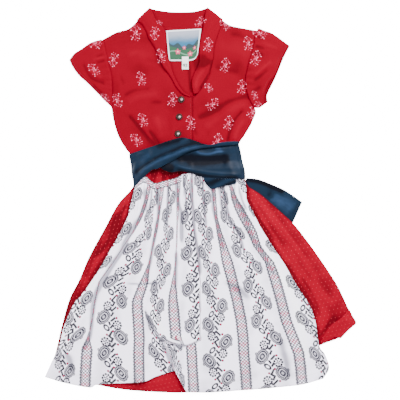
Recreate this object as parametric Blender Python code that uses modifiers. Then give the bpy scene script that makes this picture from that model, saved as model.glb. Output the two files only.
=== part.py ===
"""A child's dirndl lying flat on its back: the dress, its apron and its satin sash.

Sizes are in millimetres. Across (+X) runs to the right as one looks down on the dress, up (+Y) runs
towards the collar, and heights (+Z) are above the surface that it lies on. Right and left in a name are
the wearer's, so the right side of the dress is at -X. Every cloth is a sheet with a wall, and its
underside follows a height that clears the pieces below it.
"""
import math
from collections import namedtuple

import bmesh
import bpy
import numpy as np

MM = 0.001

# Walls and clearances
COTTON = 1.0
SATIN = 1.0
WALL_RISE = 1.1
SEAM_GAP = 0.3
SEAM_INSET = 0.25
LAYER_GAP = 0.4
HANG_CLEAR = 2.5
APRON_HANG_CLEAR = 8.0
HANG_RAMP = 14.0
SASH_LIFT = 1.5
LIFT_RAMP = 26.0
SASH_HANG_RAMP = 6.0

# Fullness of the layers
BODICE_EASE = 1.0
EDGE_EASE = 16.0
SLEEVE_EASE = 1.4
SLEEVE_FOLD = 1.2
SLEEVE_SEAM_INSET = 0.75
SLEEVE_GATHERS = 7
SLEEVE_GATHER_HEIGHT = 0.6
SKIRT_GATHERS = 12
SKIRT_GATHER_HEIGHT = 1.6
SKIRT_WAVES = 6
SKIRT_WAVE_HEIGHT = 2.6
SKIRT_LENGTH = 330.0
APRON_FOLD_HEIGHT = 2.6
SASH_PLEAT_HEIGHT = 1.8

# Point that the skirt's folds fan out from, and the two directions between which they lie
FAN_CENTRE = (-38.0, 199.5)
FAN_START = math.radians(-24)
FAN_END = math.radians(37)
FAN_WAIST = 142.0

BUTTON_RADIUS = 5.0
BUTTON_HEIGHT = 3.6
BUTTON_SEGMENTS = 16


def table(columns, *rows):
    """Rows whose values are read by the names of their columns."""
    Row = namedtuple("Row", columns)
    return [Row(*row) for row in rows]


# Seam lines and edges of the bodice
SHOULDER_RIGHT = table("across up", (-146.5, 239), (-126.5, 250), (-107, 256), (-93.5, 268))
SHOULDER_LEFT = table("across up", (31, 269), (44.5, 260.5), (63, 257), (85, 252))
NECK_BACK = table(
    "across up", (-93.5, 268), (-75.5, 261.5), (-54.5, 258), (-24.5, 257), (4, 258.5), (19, 263), (31, 269))
NECK_RIGHT = table(
    "across up", (-93.5, 268), (-87.5, 264.5), (-80, 252.5), (-77, 243.5), (-69.5, 231.5), (-65, 223),
    (-56, 201.5), (-44.5, 186), (-36, 170.5), (-26, 159.5), (-11.5, 153.5))
NECK_LEFT = table(
    "across up", (31, 269), (26, 249.5), (20, 230), (18.5, 213.5), (16, 201.5), (13, 188), (8, 177.5),
    (0.5, 167.5), (-7.5, 156.5))
OVERLAP_EDGE = table("across up", (-11.5, 153.5), (-11, 131), (-11, 105.5), (-11, 57.5))
UNDERLAP_EDGE = table("across up", (-7.5, 156.5), (-30.5, 139), (-36.5, 121), (-36.5, 57.5))
ARMHOLE_RIGHT = table(
    "across up", (-146.5, 239), (-144.5, 228.5), (-142, 218.5), (-138.5, 201.5), (-134, 180.5), (-132, 140))
ARMHOLE_LEFT = table(
    "across up", (85, 252), (83, 242), (80.5, 227.5), (74, 204.5), (69.5, 183.5), (69.5, 171.5), (74, 155),
    (77.5, 138.5))
SIDE_RIGHT = table(
    "across up", (-132, 140), (-126.5, 115), (-120, 92), (-105.5, 71.5), (-96, 63.5), (-92, 57.5))
SIDE_LEFT = table(
    "across up", (77.5, 138.5), (77, 119), (73.5, 111.5), (65, 96.5), (58, 86), (55, 72.5), (56.5, 57.5))
WAIST = table("across up", (-92, 57.5), (56.5, 57.5))
WAIST_RIGHT = table("across up", (-92, 57.5), (-11, 57.5))
WAIST_LEFT = table("across up", (-36.5, 57.5), (56.5, 57.5))

# Edges of the sleeves
SLEEVE_TOP_RIGHT = table(
    "across up", (-146.5, 239), (-152, 238.5), (-165, 234), (-176.5, 225.5), (-187, 218.5), (-193.5, 209.5))
SLEEVE_HEM_RIGHT = table(
    "across up", (-193.5, 209.5), (-188, 200.5), (-178, 188), (-159, 167.5), (-142, 152.5))
UNDERARM_RIGHT = table("across up", (-132, 140), (-142, 152.5))
SLEEVE_TOP_LEFT = table("across up", (85, 252), (87, 256), (95.5, 254), (110, 248.5), (132, 230))
SLEEVE_HEM_LEFT = table(
    "across up", (132, 230), (122.5, 212.5), (113, 188.5), (106, 174), (98.5, 158), (99, 148))
SLEEVE_FRONT_HEM_LEFT = table(
    "across up", (132, 230), (118.5, 210.5), (112, 191), (99.5, 175), (95, 161), (93, 146))
UNDERARM_LEFT = table("across up", (77.5, 138.5), (88, 140), (99, 148))
UNDERARM_FRONT_LEFT = table("across up", (77.5, 138.5), (86, 140), (93, 146))

# Free edge of the collar: down the right front, round the back, and down the left front
COLLAR_RIGHT = table(
    "across up", (-74, 286.3), (-65, 267.5), (-54, 257), (-50.5, 242.5), (-51.5, 223), (-45, 206),
    (-40.5, 188.5), (-28, 165.5), (-15.5, 156.8))
COLLAR_BACK = table(
    "across up", (-74, 286.3), (-63.5, 283.3), (-42.5, 280.5), (-17, 280.5), (-3.5, 282.3), (9.5, 285.8))
COLLAR_LEFT = table(
    "across up", (9.5, 285.8), (5.5, 271), (4, 257), (0, 239.5), (-1.5, 225.5), (-0.5, 207.5), (-3.5, 192.5),
    (-11, 177.5), (-12.5, 168), (-11, 161))
COLLAR_FRONT_LEVEL = 3.2
COLLAR_REACH = 0.97
COLLAR_FOLD_STEPS = 4
COLLAR_FOLD_RIGHT = (-0.72, 0.69)
COLLAR_FOLD_LEFT = (0.66, 0.75)
COLLAR_FRONT_ROWS = 12
COLLAR_BACK_ROWS = 8
COLLAR_COLUMNS = 5
COLLAR_SEAM_INSET = 0.7

# Edges of the skirt
SKIRT_RIGHT = table(
    "across up", (-92, 57.5), (-97, 30.5), (-100, 17), (-122, -6.5), (-143.5, -42.5), (-165.5, -84.5),
    (-179, -119.5), (-194, -148), (-207.5, -188), (-215, -221), (-222.5, -248.5))
SKIRT_LEFT = table(
    "across up", (56.5, 57.5), (65.5, 36.5), (73, 23.5), (92.5, 12.5), (123.5, -16), (141, -34),
    (158.5, -56), (176.5, -80), (191.5, -106), (205, -130.5), (220, -161.5), (232, -182))
SKIRT_HEM = table(
    "across up", (-222.5, -248.5), (-188, -266.5), (-152.5, -277), (-108.5, -282.5), (-53, -287),
    (-20, -287), (37, -281.5), (92.5, -265), (143.5, -241), (179.5, -217.5), (209.5, -205), (232, -182))
TURNUP_OUTER = table(
    "across up", (221, -162.5), (226, -166), (233, -183.5), (218, -195.5), (209.5, -206.5), (200.5, -205),
    (190, -209), (183.5, -214.5))
TURNUP_INNER = table("across up", (219, -164.5), (209.5, -173.5), (194.5, -182.5), (187, -194.5), (182.5, -211.5))

# Edges of the apron
APRON_TOP = table(
    "across up", (-96.5, 24.5), (-82.5, 35.5), (-69, 26), (-53, 29), (-35.5, 34), (-23.5, 39.5),
    (-0.5, 42.5), (29.5, 44), (60, 39))
APRON_RIGHT = table(
    "across up", (-96.5, 24.5), (-106, -14), (-110.5, -26.5), (-130.5, -60), (-152.5, -100),
    (-174.5, -133), (-192, -157), (-205, -190), (-214, -218.5), (-229.5, -245), (-233, -265))
APRON_LEFT = table(
    "across up", (60, 39), (68, 24), (71, 1.5), (79.5, -14), (92.5, -40), (110.5, -68.5), (128, -95.5),
    (145.5, -126), (163, -152.5), (174, -179), (177.5, -216.5), (187.5, -232), (193, -251.5), (181, -269.5))
APRON_HEM = table(
    "across up", (-233, -265), (-201.5, -273.5), (-165.5, -280), (-155, -276), (-122, -273), (-86.5, -271.5),
    (-64.5, -262.5), (-38, -254.5))
APRON_HEM_NOTCH = table("across up", (-38, -254.5), (-30.5, -269), (-20.5, -287))
APRON_HEM_LEFT = table(
    "across up", (-20.5, -287), (13, -287.5), (57.5, -284.5), (101.5, -280), (149.5, -273.5), (181, -269.5))

# Troughs between the apron's gathers: place and width as parts of the apron's width, depth as a part of
# the fold height, and reach as a part of its length
APRON_TROUGHS = table(
    "place width depth reach", (0.07, 0.016, 0.7, 0.55), (0.14, 0.018, 0.9, 0.7), (0.22, 0.018, 0.7, 0.45),
    (0.30, 0.018, 0.9, 0.6), (0.385, 0.018, 0.8, 0.5), (0.46, 0.020, 1.0, 0.95), (0.53, 0.018, 0.9, 0.6),
    (0.61, 0.018, 0.8, 0.5), (0.68, 0.020, 1.0, 0.75), (0.76, 0.018, 0.7, 0.5), (0.84, 0.018, 0.9, 0.65),
    (0.92, 0.018, 0.7, 0.5))
TROUGH_SPREAD = 2.4
APRON_LAST_STEP = 0.94

# Edges of the sash
SASH_BACK_TOP = table("across up", (-103, 68.5), (-23, 81.5), (57, 88))
SASH_BACK_LOW = table("across up", (-97.5, 20), (-15.5, 24.5), (66, 32.5))
TAIL_TOP = table("across up", (69.5, 29.5), (86.5, 28), (104.5, 21.5), (127, 11), (149.5, -1))
TAIL_LOW = table("across up", (56.5, 5), (74.5, -8.5), (92.5, -20.5), (107.5, -32.5), (121, -43))
LOWER_TOP = table("across up", (-51.5, 60.5), (-21.5, 74), (-0.5, 82), (19, 85), (57.5, 88.5))
LOWER_LOW = table(
    "across up", (-47.5, 35), (-42.5, 41), (-26, 42), (-14, 40), (5.5, 34), (26, 32.5), (67.5, 32))
LOWER_END = table("across up", (57.5, 88.5), (64, 60.5), (67.5, 32))
UPPER_TOP = table(
    "across up", (-104, 69.5), (-75.5, 79), (-34, 93.6), (-17, 93), (11.5, 85.5), (32.5, 89), (57.5, 92))
UPPER_LOW = table(
    "across up", (-97.5, 19.5), (-74.5, 43.5), (-63.5, 47), (-47.5, 55.5), (-21, 70), (0.5, 78), (19, 83),
    (58, 86.5))
FLAP_TOP = table("across up", (4.5, 33.3), (26, 31.7), (53, 31.3))
FLAP_LOW = table("across up", (7, 26), (16.5, 17), (32.5, 20.5), (53, 24.5))

# Labels at the back of the neck
LABEL_TOP = table("across up", (-49.5, 255), (0.5, 255.3))
LABEL_LOW = table("across up", (-46, 208), (-12.5, 209.5), (-5, 217))
TAG_TOP = table("across up", (-27.5, 215), (-17.5, 215))
TAG_LOW = table("across up", (-27.5, 196), (-17.5, 196))

BUTTONS = table("across up", (-28.5, 150.5), (-31.5, 124.5), (-33.5, 99.3))

# Soft ridges across the fronts
CREASES = table(
    "from_across from_up to_across to_up width height", (-120.5, 155, -63.5, 165.5, 7, 0.8),
    (-0.5, 123.5, 41.5, 144.5, 6, 0.7), (41.5, 144.5, 74.5, 153.5, 6, 0.7),
    (-105.5, 126.5, -75.5, 90.5, 6, 0.8), (-82, 104.5, -67.5, 86, 5, 0.6), (61, 125.5, 42, 90, 6, 0.8))


def ease(part):
    """A soft step from 0 to 1."""
    part = np.clip(part, 0.0, 1.0)
    return part * part * (3 - 2 * part)


def smooth_line(rows):
    """A dense smooth curve through a seam's points."""
    points = np.array([(row.across, row.up) for row in rows], float)
    ends = np.vstack([2 * points[0] - points[1], points, 2 * points[-1] - points[-2]])
    dense = [points[0]]
    for before, start, end, after in zip(ends, ends[1:], ends[2:], ends[3:]):
        for step in np.linspace(0, 1, 9)[1:]:
            dense.append(0.5 * (
                2 * start + (end - before) * step + (2 * before - 5 * start + 4 * end - after) * step ** 2
                + (3 * start - before - 3 * end + after) * step ** 3))
    return np.array(dense)


def edge(*parts):
    """One line from several seams, with a corner where two of them meet."""
    lines = [smooth_line(part) for part in parts]
    return np.vstack([lines[0]] + [line[1:] for line in lines[1:]])


def spaced(line, stops):
    """Points of a line at the given parts of its length."""
    lengths = np.hypot(*np.diff(line, axis=0).T)
    travelled = np.concatenate([[0], np.cumsum(lengths)]) / lengths.sum()
    return np.stack([np.interp(stops, travelled, line[:, axis]) for axis in (0, 1)], axis=1)


def steps(count, crowding=1.0):
    """count steps from 0 to 1, closer together at the start where crowding is above 1."""
    return np.linspace(0, 1, count + 1) ** crowding


def panel(top, bottom, right, left, columns, rows):
    """A grid of points between four edges, from the wearer's right to left and from top to bottom.

    columns and rows hold the parts of the width and length at which the grid's points lie.
    """
    top, bottom = spaced(top, columns), spaced(bottom, columns)
    right, left = spaced(right, rows), spaced(left, rows)
    across = columns[None, :, None]
    down = rows[:, None, None]
    between_ends = (1 - down) * top[None] + down * bottom[None]
    between_sides = (1 - across) * right[:, None] + across * left[:, None]
    corners = (1 - down) * ((1 - across) * top[0] + across * top[-1]) + down * (
        (1 - across) * bottom[0] + across * bottom[-1])
    return between_ends + between_sides - corners


def inset(spots, distance=SEAM_INSET):
    """The same grid with its four edges drawn in from the seam lines."""
    drawn = spots.copy()
    for edge_line, next_line in (
            (np.s_[:, 0], np.s_[:, 1]), (np.s_[:, -1], np.s_[:, -2]),
            (np.s_[0], np.s_[1]), (np.s_[-1], np.s_[-2])):
        inward = drawn[next_line] - drawn[edge_line]
        length = np.maximum(np.hypot(inward[:, 0], inward[:, 1]), 1e-6)[:, None]
        drawn[edge_line] += inward / length * np.minimum(distance, 0.4 * length)
    return drawn


def outline_of(spots):
    """The closed outline of a grid of points."""
    return np.vstack([spots[0], spots[1:, -1], spots[-1, -2::-1], spots[-2:0:-1, 0]])


def beyond(outline, across, up):
    """How far each point lies outside an outline; inside it the distance is negative."""
    nearest = np.full(across.shape, 1e9)
    inside = np.zeros(across.shape, bool)
    for start, end in zip(outline, np.roll(outline, -1, axis=0)):
        along = end - start
        length = max(along @ along, 1e-9)
        part = np.clip(((across - start[0]) * along[0] + (up - start[1]) * along[1]) / length, 0, 1)
        away = np.hypot(across - start[0] - part * along[0], up - start[1] - part * along[1])
        nearest = np.minimum(nearest, away)
        if start[1] != end[1]:
            crosses = (start[1] > up) != (end[1] > up)
            inside ^= crosses & (across < start[0] + (up - start[1]) * along[0] / along[1])
    return np.where(inside, -nearest, nearest)


def draped(outline, across, up, ramp=HANG_RAMP):
    """1 over a piece and just round it, falling softly to 0 a ramp further out."""
    return 1 - ease((beyond(outline, across, up) - HANG_CLEAR) / ramp)


def straight(start, end):
    """A straight edge between two points."""
    return np.array([start, end], float)


def band(top_rows, low_rows, columns, rows, end_rows=None):
    """A grid between the upper and lower edges of a band."""
    top, low = edge(top_rows), edge(low_rows)
    end = edge(end_rows) if end_rows else straight(top[-1], low[-1])
    return panel(top, low, straight(top[0], low[0]), end, steps(columns), steps(rows))


# Grids of the pieces, as points across and up
SHOULDERS = edge(SHOULDER_RIGHT, NECK_BACK, SHOULDER_LEFT)
OUTER_RIGHT = edge(ARMHOLE_RIGHT, SIDE_RIGHT)
OUTER_LEFT = edge(ARMHOLE_LEFT, SIDE_LEFT)
FRONT_RIGHT = inset(panel(
    edge(SHOULDER_RIGHT), edge(WAIST_RIGHT), OUTER_RIGHT, edge(NECK_RIGHT, OVERLAP_EDGE), steps(10), steps(20)))
FRONT_LEFT = inset(panel(
    edge(SHOULDER_LEFT), edge(WAIST_LEFT), edge(NECK_LEFT, UNDERLAP_EDGE), OUTER_LEFT, steps(10), steps(20)))
BACK = inset(panel(SHOULDERS, edge(WAIST), OUTER_RIGHT, OUTER_LEFT, steps(20), steps(14)))
SKIRT_EDGES = edge(WAIST), edge(SKIRT_HEM), edge(SKIRT_RIGHT), edge(SKIRT_LEFT)
SKIRT_STEPS = steps(13, 1.5)
SKIRT = inset(panel(*SKIRT_EDGES, steps(48), SKIRT_STEPS))
SKIRT_BEHIND = inset(panel(*SKIRT_EDGES, steps(24), SKIRT_STEPS))
APRON_STEPS = np.append(steps(12, 1.15) * APRON_LAST_STEP, 1.0)
APRON = panel(
    edge(APRON_TOP), edge(APRON_HEM, APRON_HEM_NOTCH, APRON_HEM_LEFT), edge(APRON_RIGHT), edge(APRON_LEFT),
    steps(60), APRON_STEPS)
SASH_BACK = band(SASH_BACK_TOP, SASH_BACK_LOW, 12, 3)
SASH_TAIL = band(TAIL_TOP, TAIL_LOW, 8, 4)
SASH_LOWER = band(LOWER_TOP, LOWER_LOW, 18, 12, LOWER_END)
SASH_UPPER = band(UPPER_TOP, UPPER_LOW, 24, 8)
SASH_FLAP = band(FLAP_TOP, FLAP_LOW, 7, 3)
LABEL = band(LABEL_TOP, LABEL_LOW, 5, 4)
SIZE_TAG = band(TAG_TOP, TAG_LOW, 2, 4)
TURNUP = panel(
    straight((219, -164.5), (221, -162.5)), straight((182.5, -211.5), (183.5, -214.5)), edge(TURNUP_INNER),
    edge(TURNUP_OUTER), steps(4), steps(12))

BODY_OUTLINE = np.vstack([
    spaced(edge(ARMHOLE_RIGHT, SIDE_RIGHT, SKIRT_RIGHT), steps(60)), spaced(edge(SKIRT_HEM), steps(24)),
    spaced(edge(ARMHOLE_LEFT, SIDE_LEFT, SKIRT_LEFT), steps(60))[::-1], spaced(SHOULDERS, steps(24))[::-1]])


def depth_in(across, up):
    """0 at the dress's outline, rising softly to 1 some way inside it."""
    return ease(-beyond(BODY_OUTLINE, across, up) / EDGE_EASE)


def back_floor(across, up):
    """Underside of the dress's back, raised over the sash that lies behind it."""
    over_band = draped(outline_of(SASH_BACK), across, up, LIFT_RAMP)
    over_tail = draped(outline_of(SASH_TAIL), across, up, LIFT_RAMP)
    return SASH_LIFT * np.maximum(over_band, over_tail)


def creased(across, up):
    """Soft ridges of the fronts."""
    height = np.zeros(across.shape)
    for row in CREASES:
        line = np.array([(row.from_across, row.from_up), (row.to_across, row.to_up)])
        distance = np.abs(beyond(line, across, up))
        height = np.maximum(height, row.height * np.exp(-(distance / row.width) ** 2))
    return height


def front_floor(across, up):
    """Underside of the left front, which lies on the back."""
    eased = BODICE_EASE * depth_in(across, up)
    return back_floor(across, up) + WALL_RISE + SEAM_GAP + eased + creased(across, up)


def overlap_floor(across, up):
    """Underside of the right front, raised where it laps over the left one."""
    return front_floor(across, up) + (WALL_RISE + LAYER_GAP) * draped(outline_of(FRONT_LEFT), across, up)


def skirt_fullness(across, up):
    """The most that the skirt's folds rise, at each point."""
    down = np.hypot(across - FAN_CENTRE[0], up - FAN_CENTRE[1]) - FAN_WAIST
    part = np.clip(down / SKIRT_LENGTH, 0, 1)
    return SKIRT_GATHER_HEIGHT + (SKIRT_WAVE_HEIGHT - SKIRT_GATHER_HEIGHT) * ease(part * 2)


def skirt_folds(across, up):
    """Gathers at the waist that run out into fewer, broader waves."""
    angle = np.arctan2(across - FAN_CENTRE[0], FAN_CENTRE[1] - up)
    turn = (angle - FAN_START) / (FAN_END - FAN_START)
    down = np.hypot(across - FAN_CENTRE[0], up - FAN_CENTRE[1]) - FAN_WAIST
    part = np.clip(down / SKIRT_LENGTH, 0, 1)
    uneven = turn + 0.012 * np.sin(2 * math.pi * 3 * turn)
    gathers = 0.5 + 0.5 * np.cos(2 * math.pi * SKIRT_GATHERS * uneven)
    waves = 0.5 + 0.5 * np.sin(2 * math.pi * SKIRT_WAVES * uneven + 0.8 * part)
    fine = 1 - ease(part * 2.2)
    return skirt_fullness(across, up) * (fine * gathers + (1 - fine) * waves)


def skirt_floor(across, up):
    """Underside of the skirt's front."""
    return back_floor(across, up) + WALL_RISE + SEAM_GAP + skirt_folds(across, up) * depth_in(across, up)


def skirt_top(across, up):
    """Height that clears the skirt everywhere."""
    walls = back_floor(across, up) + 2 * WALL_RISE + SEAM_GAP
    return walls + skirt_fullness(across, up) * depth_in(across, up)


def apron_floor(across, up):
    """What the apron lies on: the skirt, and beyond its edge the surface below."""
    outside = (beyond(BODY_OUTLINE, across, up) - APRON_HANG_CLEAR) / HANG_RAMP
    return (skirt_top(across, up) + LAYER_GAP) * (1 - ease(outside))


def apron_folds(across_part, down_part):
    """Gathers of the apron as a height over its width and length."""
    cut = np.zeros(across_part.shape)
    for row in APRON_TROUGHS:
        width = row.width * (1 + TROUGH_SPREAD * down_part)
        fading = 1 - ease(down_part / row.reach)
        cut = np.maximum(cut, row.depth * fading * np.exp(-((across_part - row.place) / width) ** 2))
    sides = ease(across_part * 10) * ease((1 - across_part) * 10)
    fullness = 1 - 0.5 * ease(down_part * 1.2)
    return APRON_FOLD_HEIGHT * fullness * (1 - cut) * sides


def sash_floor(across, up):
    """What the sash lies on at the waist, down to the sash behind at both sides."""
    down = ease((60 - up) / 14)
    at_edge = 4.6 + 1.6 * down
    inside = 7.9 + 2.7 * down
    stack = at_edge + (inside - at_edge) * depth_in(across, up)
    outside = (beyond(BODY_OUTLINE, across, up) - HANG_CLEAR) / SASH_HANG_RAMP
    floor = SATIN + SEAM_GAP
    return floor + (stack - floor) * (1 - ease(outside))


def pleats(across_part, down_part, count, slant, height):
    """Lengthwise pleats of a sash band, highest in the middle and closed at its edges."""
    wave = 0.5 + 0.5 * np.cos(2 * math.pi * (count * down_part + slant * across_part))
    long_edges = ease(down_part * 6) * ease((1 - down_part) * 6)
    ends = ease(across_part * 10) * ease((1 - across_part) * 10)
    return height * wave * long_edges * ends


def parts_of(spots, down=None):
    """How far across and down its panel each point of a grid is, from 0 to 1."""
    rows, columns = spots.shape[:2]
    return np.meshgrid(steps(columns - 1), steps(rows - 1) if down is None else down)


def finish(name, colour, roughness, metallic=0.0):
    """A plain surface for one kind of cloth or metal."""
    material = bpy.data.materials.new(name)
    material.use_nodes = True
    shader = material.node_tree.nodes["Principled BSDF"]
    shader.inputs["Base Color"].default_value = (*colour, 1.0)
    shader.inputs["Roughness"].default_value = roughness
    shader.inputs["Metallic"].default_value = metallic
    return material


def add_object(name, form, material):
    """A finished shape as a named object in the dress's collection."""
    mesh = bpy.data.meshes.new(name)
    form.to_mesh(mesh)
    form.free()
    mesh.materials.append(material)
    piece = bpy.data.objects.new(name, mesh)
    garment.objects.link(piece)
    return piece


def sheet(name, points, wall, material, side=1.0, closed=False):
    """A sheet through a grid of points in space, with a wall on the given side of it."""
    rows, columns = points.shape[:2]
    form = bmesh.new()
    bmesh.ops.create_grid(form, x_segments=columns - 1, y_segments=rows - 1, size=1.0)
    for vertex in form.verts:
        column = round((vertex.co.x + 1) / 2 * (columns - 1))
        row = round((1 - vertex.co.y) / 2 * (rows - 1))
        vertex.co = points[row, column] * MM
    if closed:
        bmesh.ops.remove_doubles(form, verts=form.verts, dist=0.00001)
        bmesh.ops.recalc_face_normals(form, faces=form.faces)
    piece = add_object(name, form, material)
    solidify = piece.modifiers.new("wall", "SOLIDIFY")
    solidify.thickness = wall * MM
    solidify.offset = side
    return piece


def lying(name, spots, heights, wall, material):
    """A sheet whose underside lies at the given heights."""
    return sheet(name, np.dstack([spots, heights]), wall, material)


def collar_stretch(free_rows, seam_rows, count, level, reach=1.0):
    """Sections of the collar between its free edge and the neck seam, all at one level."""
    free = spaced(edge(free_rows), steps(count))
    seam = spaced(edge(seam_rows), reach * steps(count))
    inward = free - seam
    seam = seam + inward / np.hypot(*inward.T)[:, None] * COLLAR_SEAM_INSET
    return [(free_point, seam_point, level) for free_point, seam_point in zip(free, seam)]


def collar_fold(section, outward, low, high, turn):
    """Sections round a fold at the side of the neck, down from the front level or up to it."""
    free, seam, _ = section
    radius = (high - low) / 2
    sections = []
    for step in range(1, COLLAR_FOLD_STEPS):
        angle = math.pi * step / COLLAR_FOLD_STEPS
        push = np.array(outward) * radius * math.sin(angle)
        sections.append((free + push, seam + push, low + radius + turn * radius * math.cos(angle)))
    return sections


def collar():
    """The standing collar: up the right neck edge, round the back, and down the left neck edge."""
    low, high = COTTON / 2, COLLAR_FRONT_LEVEL
    right = collar_stretch(COLLAR_RIGHT, NECK_RIGHT, COLLAR_FRONT_ROWS, high, COLLAR_REACH)[::-1]
    back = collar_stretch(COLLAR_BACK, NECK_BACK, COLLAR_BACK_ROWS, low)
    left = collar_stretch(COLLAR_LEFT, NECK_LEFT, COLLAR_FRONT_ROWS, high, COLLAR_REACH)
    sections = right + collar_fold(right[-1], COLLAR_FOLD_RIGHT, low, high, 1) + back
    sections += collar_fold(back[-1], COLLAR_FOLD_LEFT, low, high, -1) + left
    across = steps(COLLAR_COLUMNS - 1)[:, None]
    points = [
        np.hstack([free * (1 - across) + seam * across, np.full((COLLAR_COLUMNS, 1), level)])
        for free, seam, level in sections]
    return sheet("collar", np.array(points), COTTON, red_print, side=0.0)


def sleeve_layer(armhole, top, hem, underarm):
    """One layer of a flattened sleeve, drawn in at its folds and just clear of the armhole."""
    spots = inset(panel(edge(armhole), edge(hem), edge(top), edge(underarm), steps(10), steps(6)), SLEEVE_FOLD)
    seam = spaced(edge(armhole), steps(10))[1:-1]
    away = spots[1, 1:-1] - seam
    spots[0, 1:-1] = seam + away / np.hypot(*away.T)[:, None] * SLEEVE_SEAM_INSET
    return spots


def sleeve(name, armhole, top, front_hem, back_hem, front_underarm, back_underarm):
    """A flattened sleeve: a tube whose front and back layers are joined by two folds."""
    front = sleeve_layer(armhole, top, front_hem, front_underarm)
    back = sleeve_layer(armhole, top, back_hem, back_underarm)
    down, along = parts_of(front)
    arch = np.sin(math.pi * down)
    gathers = 0.5 + 0.5 * np.cos(2 * math.pi * SLEEVE_GATHERS * down)
    ruffle = SLEEVE_GATHER_HEIGHT * gathers * (1 - ease(along * 1.6))
    level = 2 * COTTON + LAYER_GAP + arch * (SLEEVE_EASE * (1 - 0.5 * along) + ruffle)
    bottom = np.zeros(level.shape)
    front_columns = list(np.dstack([front, level]).transpose(1, 0, 2))
    back_columns = list(np.dstack([back, bottom]).transpose(1, 0, 2))
    underarm_fold = fold_columns(front[:, -1], back[:, -1], front[:, -1] - front[:, -2], level[:, -1], 1)
    top_fold = fold_columns(front[:, 0], back[:, 0], front[:, 0] - front[:, 1], level[:, 0], -1)
    ring = front_columns + underarm_fold + back_columns[::-1] + top_fold + front_columns[:1]
    return sheet(name, np.stack(ring, axis=1), COTTON, red_print, side=-1.0, closed=True)


def fold_columns(front_line, back_line, outward, level, turn):
    """Points round the fold between a sleeve's two layers, from the front down or from the back up."""
    outward = outward / np.hypot(outward[:, 0], outward[:, 1])[:, None]
    columns = []
    for degrees in (45, 0, -45):
        angle = math.radians(degrees * turn)
        share = 0.5 - 0.5 * math.sin(angle)
        spot = front_line * (1 - share) + back_line * share + outward * SLEEVE_FOLD * math.cos(angle)
        columns.append(np.column_stack([spot, level / 2 * (1 + math.sin(angle))]))
    return columns


def button(name, row):
    """A domed metal button, turned about its middle, just clear of the front below it."""
    turns = np.linspace(0, 2 * math.pi, 9)
    rim = row.across + BUTTON_RADIUS * np.cos(turns), row.up + BUTTON_RADIUS * np.sin(turns)
    seat = float(overlap_floor(*rim).max()) + WALL_RISE + SEAM_GAP
    profile = [(0, BUTTON_HEIGHT)]
    for degrees in (60, 40, 20):
        angle = math.radians(degrees)
        profile.append((0.86 * BUTTON_RADIUS * math.cos(angle), 1.0 + (BUTTON_HEIGHT - 1.0) * math.sin(angle)))
    profile += [(BUTTON_RADIUS, 1.1), (BUTTON_RADIUS, 0.5), (0.8 * BUTTON_RADIUS, 0), (0, 0)]
    form = bmesh.new()
    corners = [form.verts.new((radius * MM, 0, height * MM)) for radius, height in profile]
    for start, end in zip(corners, corners[1:]):
        form.edges.new((start, end))
    piece = add_object(name, form, metal)
    piece.location = (row.across * MM, row.up * MM, seat * MM)
    screw = piece.modifiers.new("turn", "SCREW")
    screw.steps = BUTTON_SEGMENTS
    screw.render_steps = BUTTON_SEGMENTS
    screw.use_merge_vertices = True
    screw.merge_threshold = 0.00001
    return piece


def bodice():
    """Back, the two fronts and the sleeves."""
    lying("bodice_back", BACK, back_floor(*BACK.T).T, COTTON, red_print)
    lying("bodice_front_left", FRONT_LEFT, front_floor(*FRONT_LEFT.T).T, COTTON, red_print)
    lying("bodice_front_right", FRONT_RIGHT, overlap_floor(*FRONT_RIGHT.T).T, COTTON, red_print)
    sleeve(
        "sleeve_right", ARMHOLE_RIGHT, SLEEVE_TOP_RIGHT, SLEEVE_HEM_RIGHT, SLEEVE_HEM_RIGHT, UNDERARM_RIGHT,
        UNDERARM_RIGHT)
    sleeve(
        "sleeve_left", ARMHOLE_LEFT, SLEEVE_TOP_LEFT, SLEEVE_FRONT_HEM_LEFT, SLEEVE_HEM_LEFT,
        UNDERARM_FRONT_LEFT, UNDERARM_LEFT)


def skirt():
    """Back and front of the skirt, and the corner of its hem that is turned up."""
    lying("skirt_back", SKIRT_BEHIND, back_floor(*SKIRT_BEHIND.T).T, COTTON, red_dots)
    lying("skirt_front", SKIRT, skirt_floor(*SKIRT.T).T, COTTON, red_dots)
    lying("skirt_hem_turnup", TURNUP, skirt_top(*TURNUP.T).T + 2 * LAYER_GAP, COTTON, red_dots)


def apron():
    """The gathered apron over the skirt."""
    heights = apron_floor(*APRON.T).T + apron_folds(*parts_of(APRON, APRON_STEPS))
    lying("apron", APRON, heights, COTTON, white_print)


def sash():
    """The stretches of the sash: behind the waist, its tail, and two bands and a flap in front."""
    lying("sash_back", SASH_BACK, np.zeros(SASH_BACK.shape[:2]), SATIN, satin)
    lying("sash_tail", SASH_TAIL, np.zeros(SASH_TAIL.shape[:2]), SATIN, satin)
    lower = sash_floor(*SASH_LOWER.T).T + pleats(*parts_of(SASH_LOWER), 2.5, 0.3, SASH_PLEAT_HEIGHT)
    lying("sash_front_lower", SASH_LOWER, lower, SATIN, satin)
    over_lower = WALL_RISE + SASH_PLEAT_HEIGHT + LAYER_GAP
    upper = sash_floor(*SASH_UPPER.T).T + over_lower * draped(outline_of(SASH_LOWER), *SASH_UPPER.T).T
    upper += pleats(*parts_of(SASH_UPPER), 1.5, 0.4, SASH_PLEAT_HEIGHT)
    lying("sash_front_upper", SASH_UPPER, upper, SATIN, satin)
    lying("sash_flap", SASH_FLAP, sash_floor(*SASH_FLAP.T).T, SATIN, satin)


def labels():
    """The neck label and the size tag that hangs below it."""
    base = COTTON + SEAM_GAP
    lying("neck_label", LABEL, np.full(LABEL.shape[:2], base), COTTON, label_cloth)
    raised = (WALL_RISE + SEAM_GAP) * draped(outline_of(LABEL), *SIZE_TAG.T, ramp=8.0).T
    lying("size_tag", SIZE_TAG, base + raised, COTTON, tag_cloth)


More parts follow.
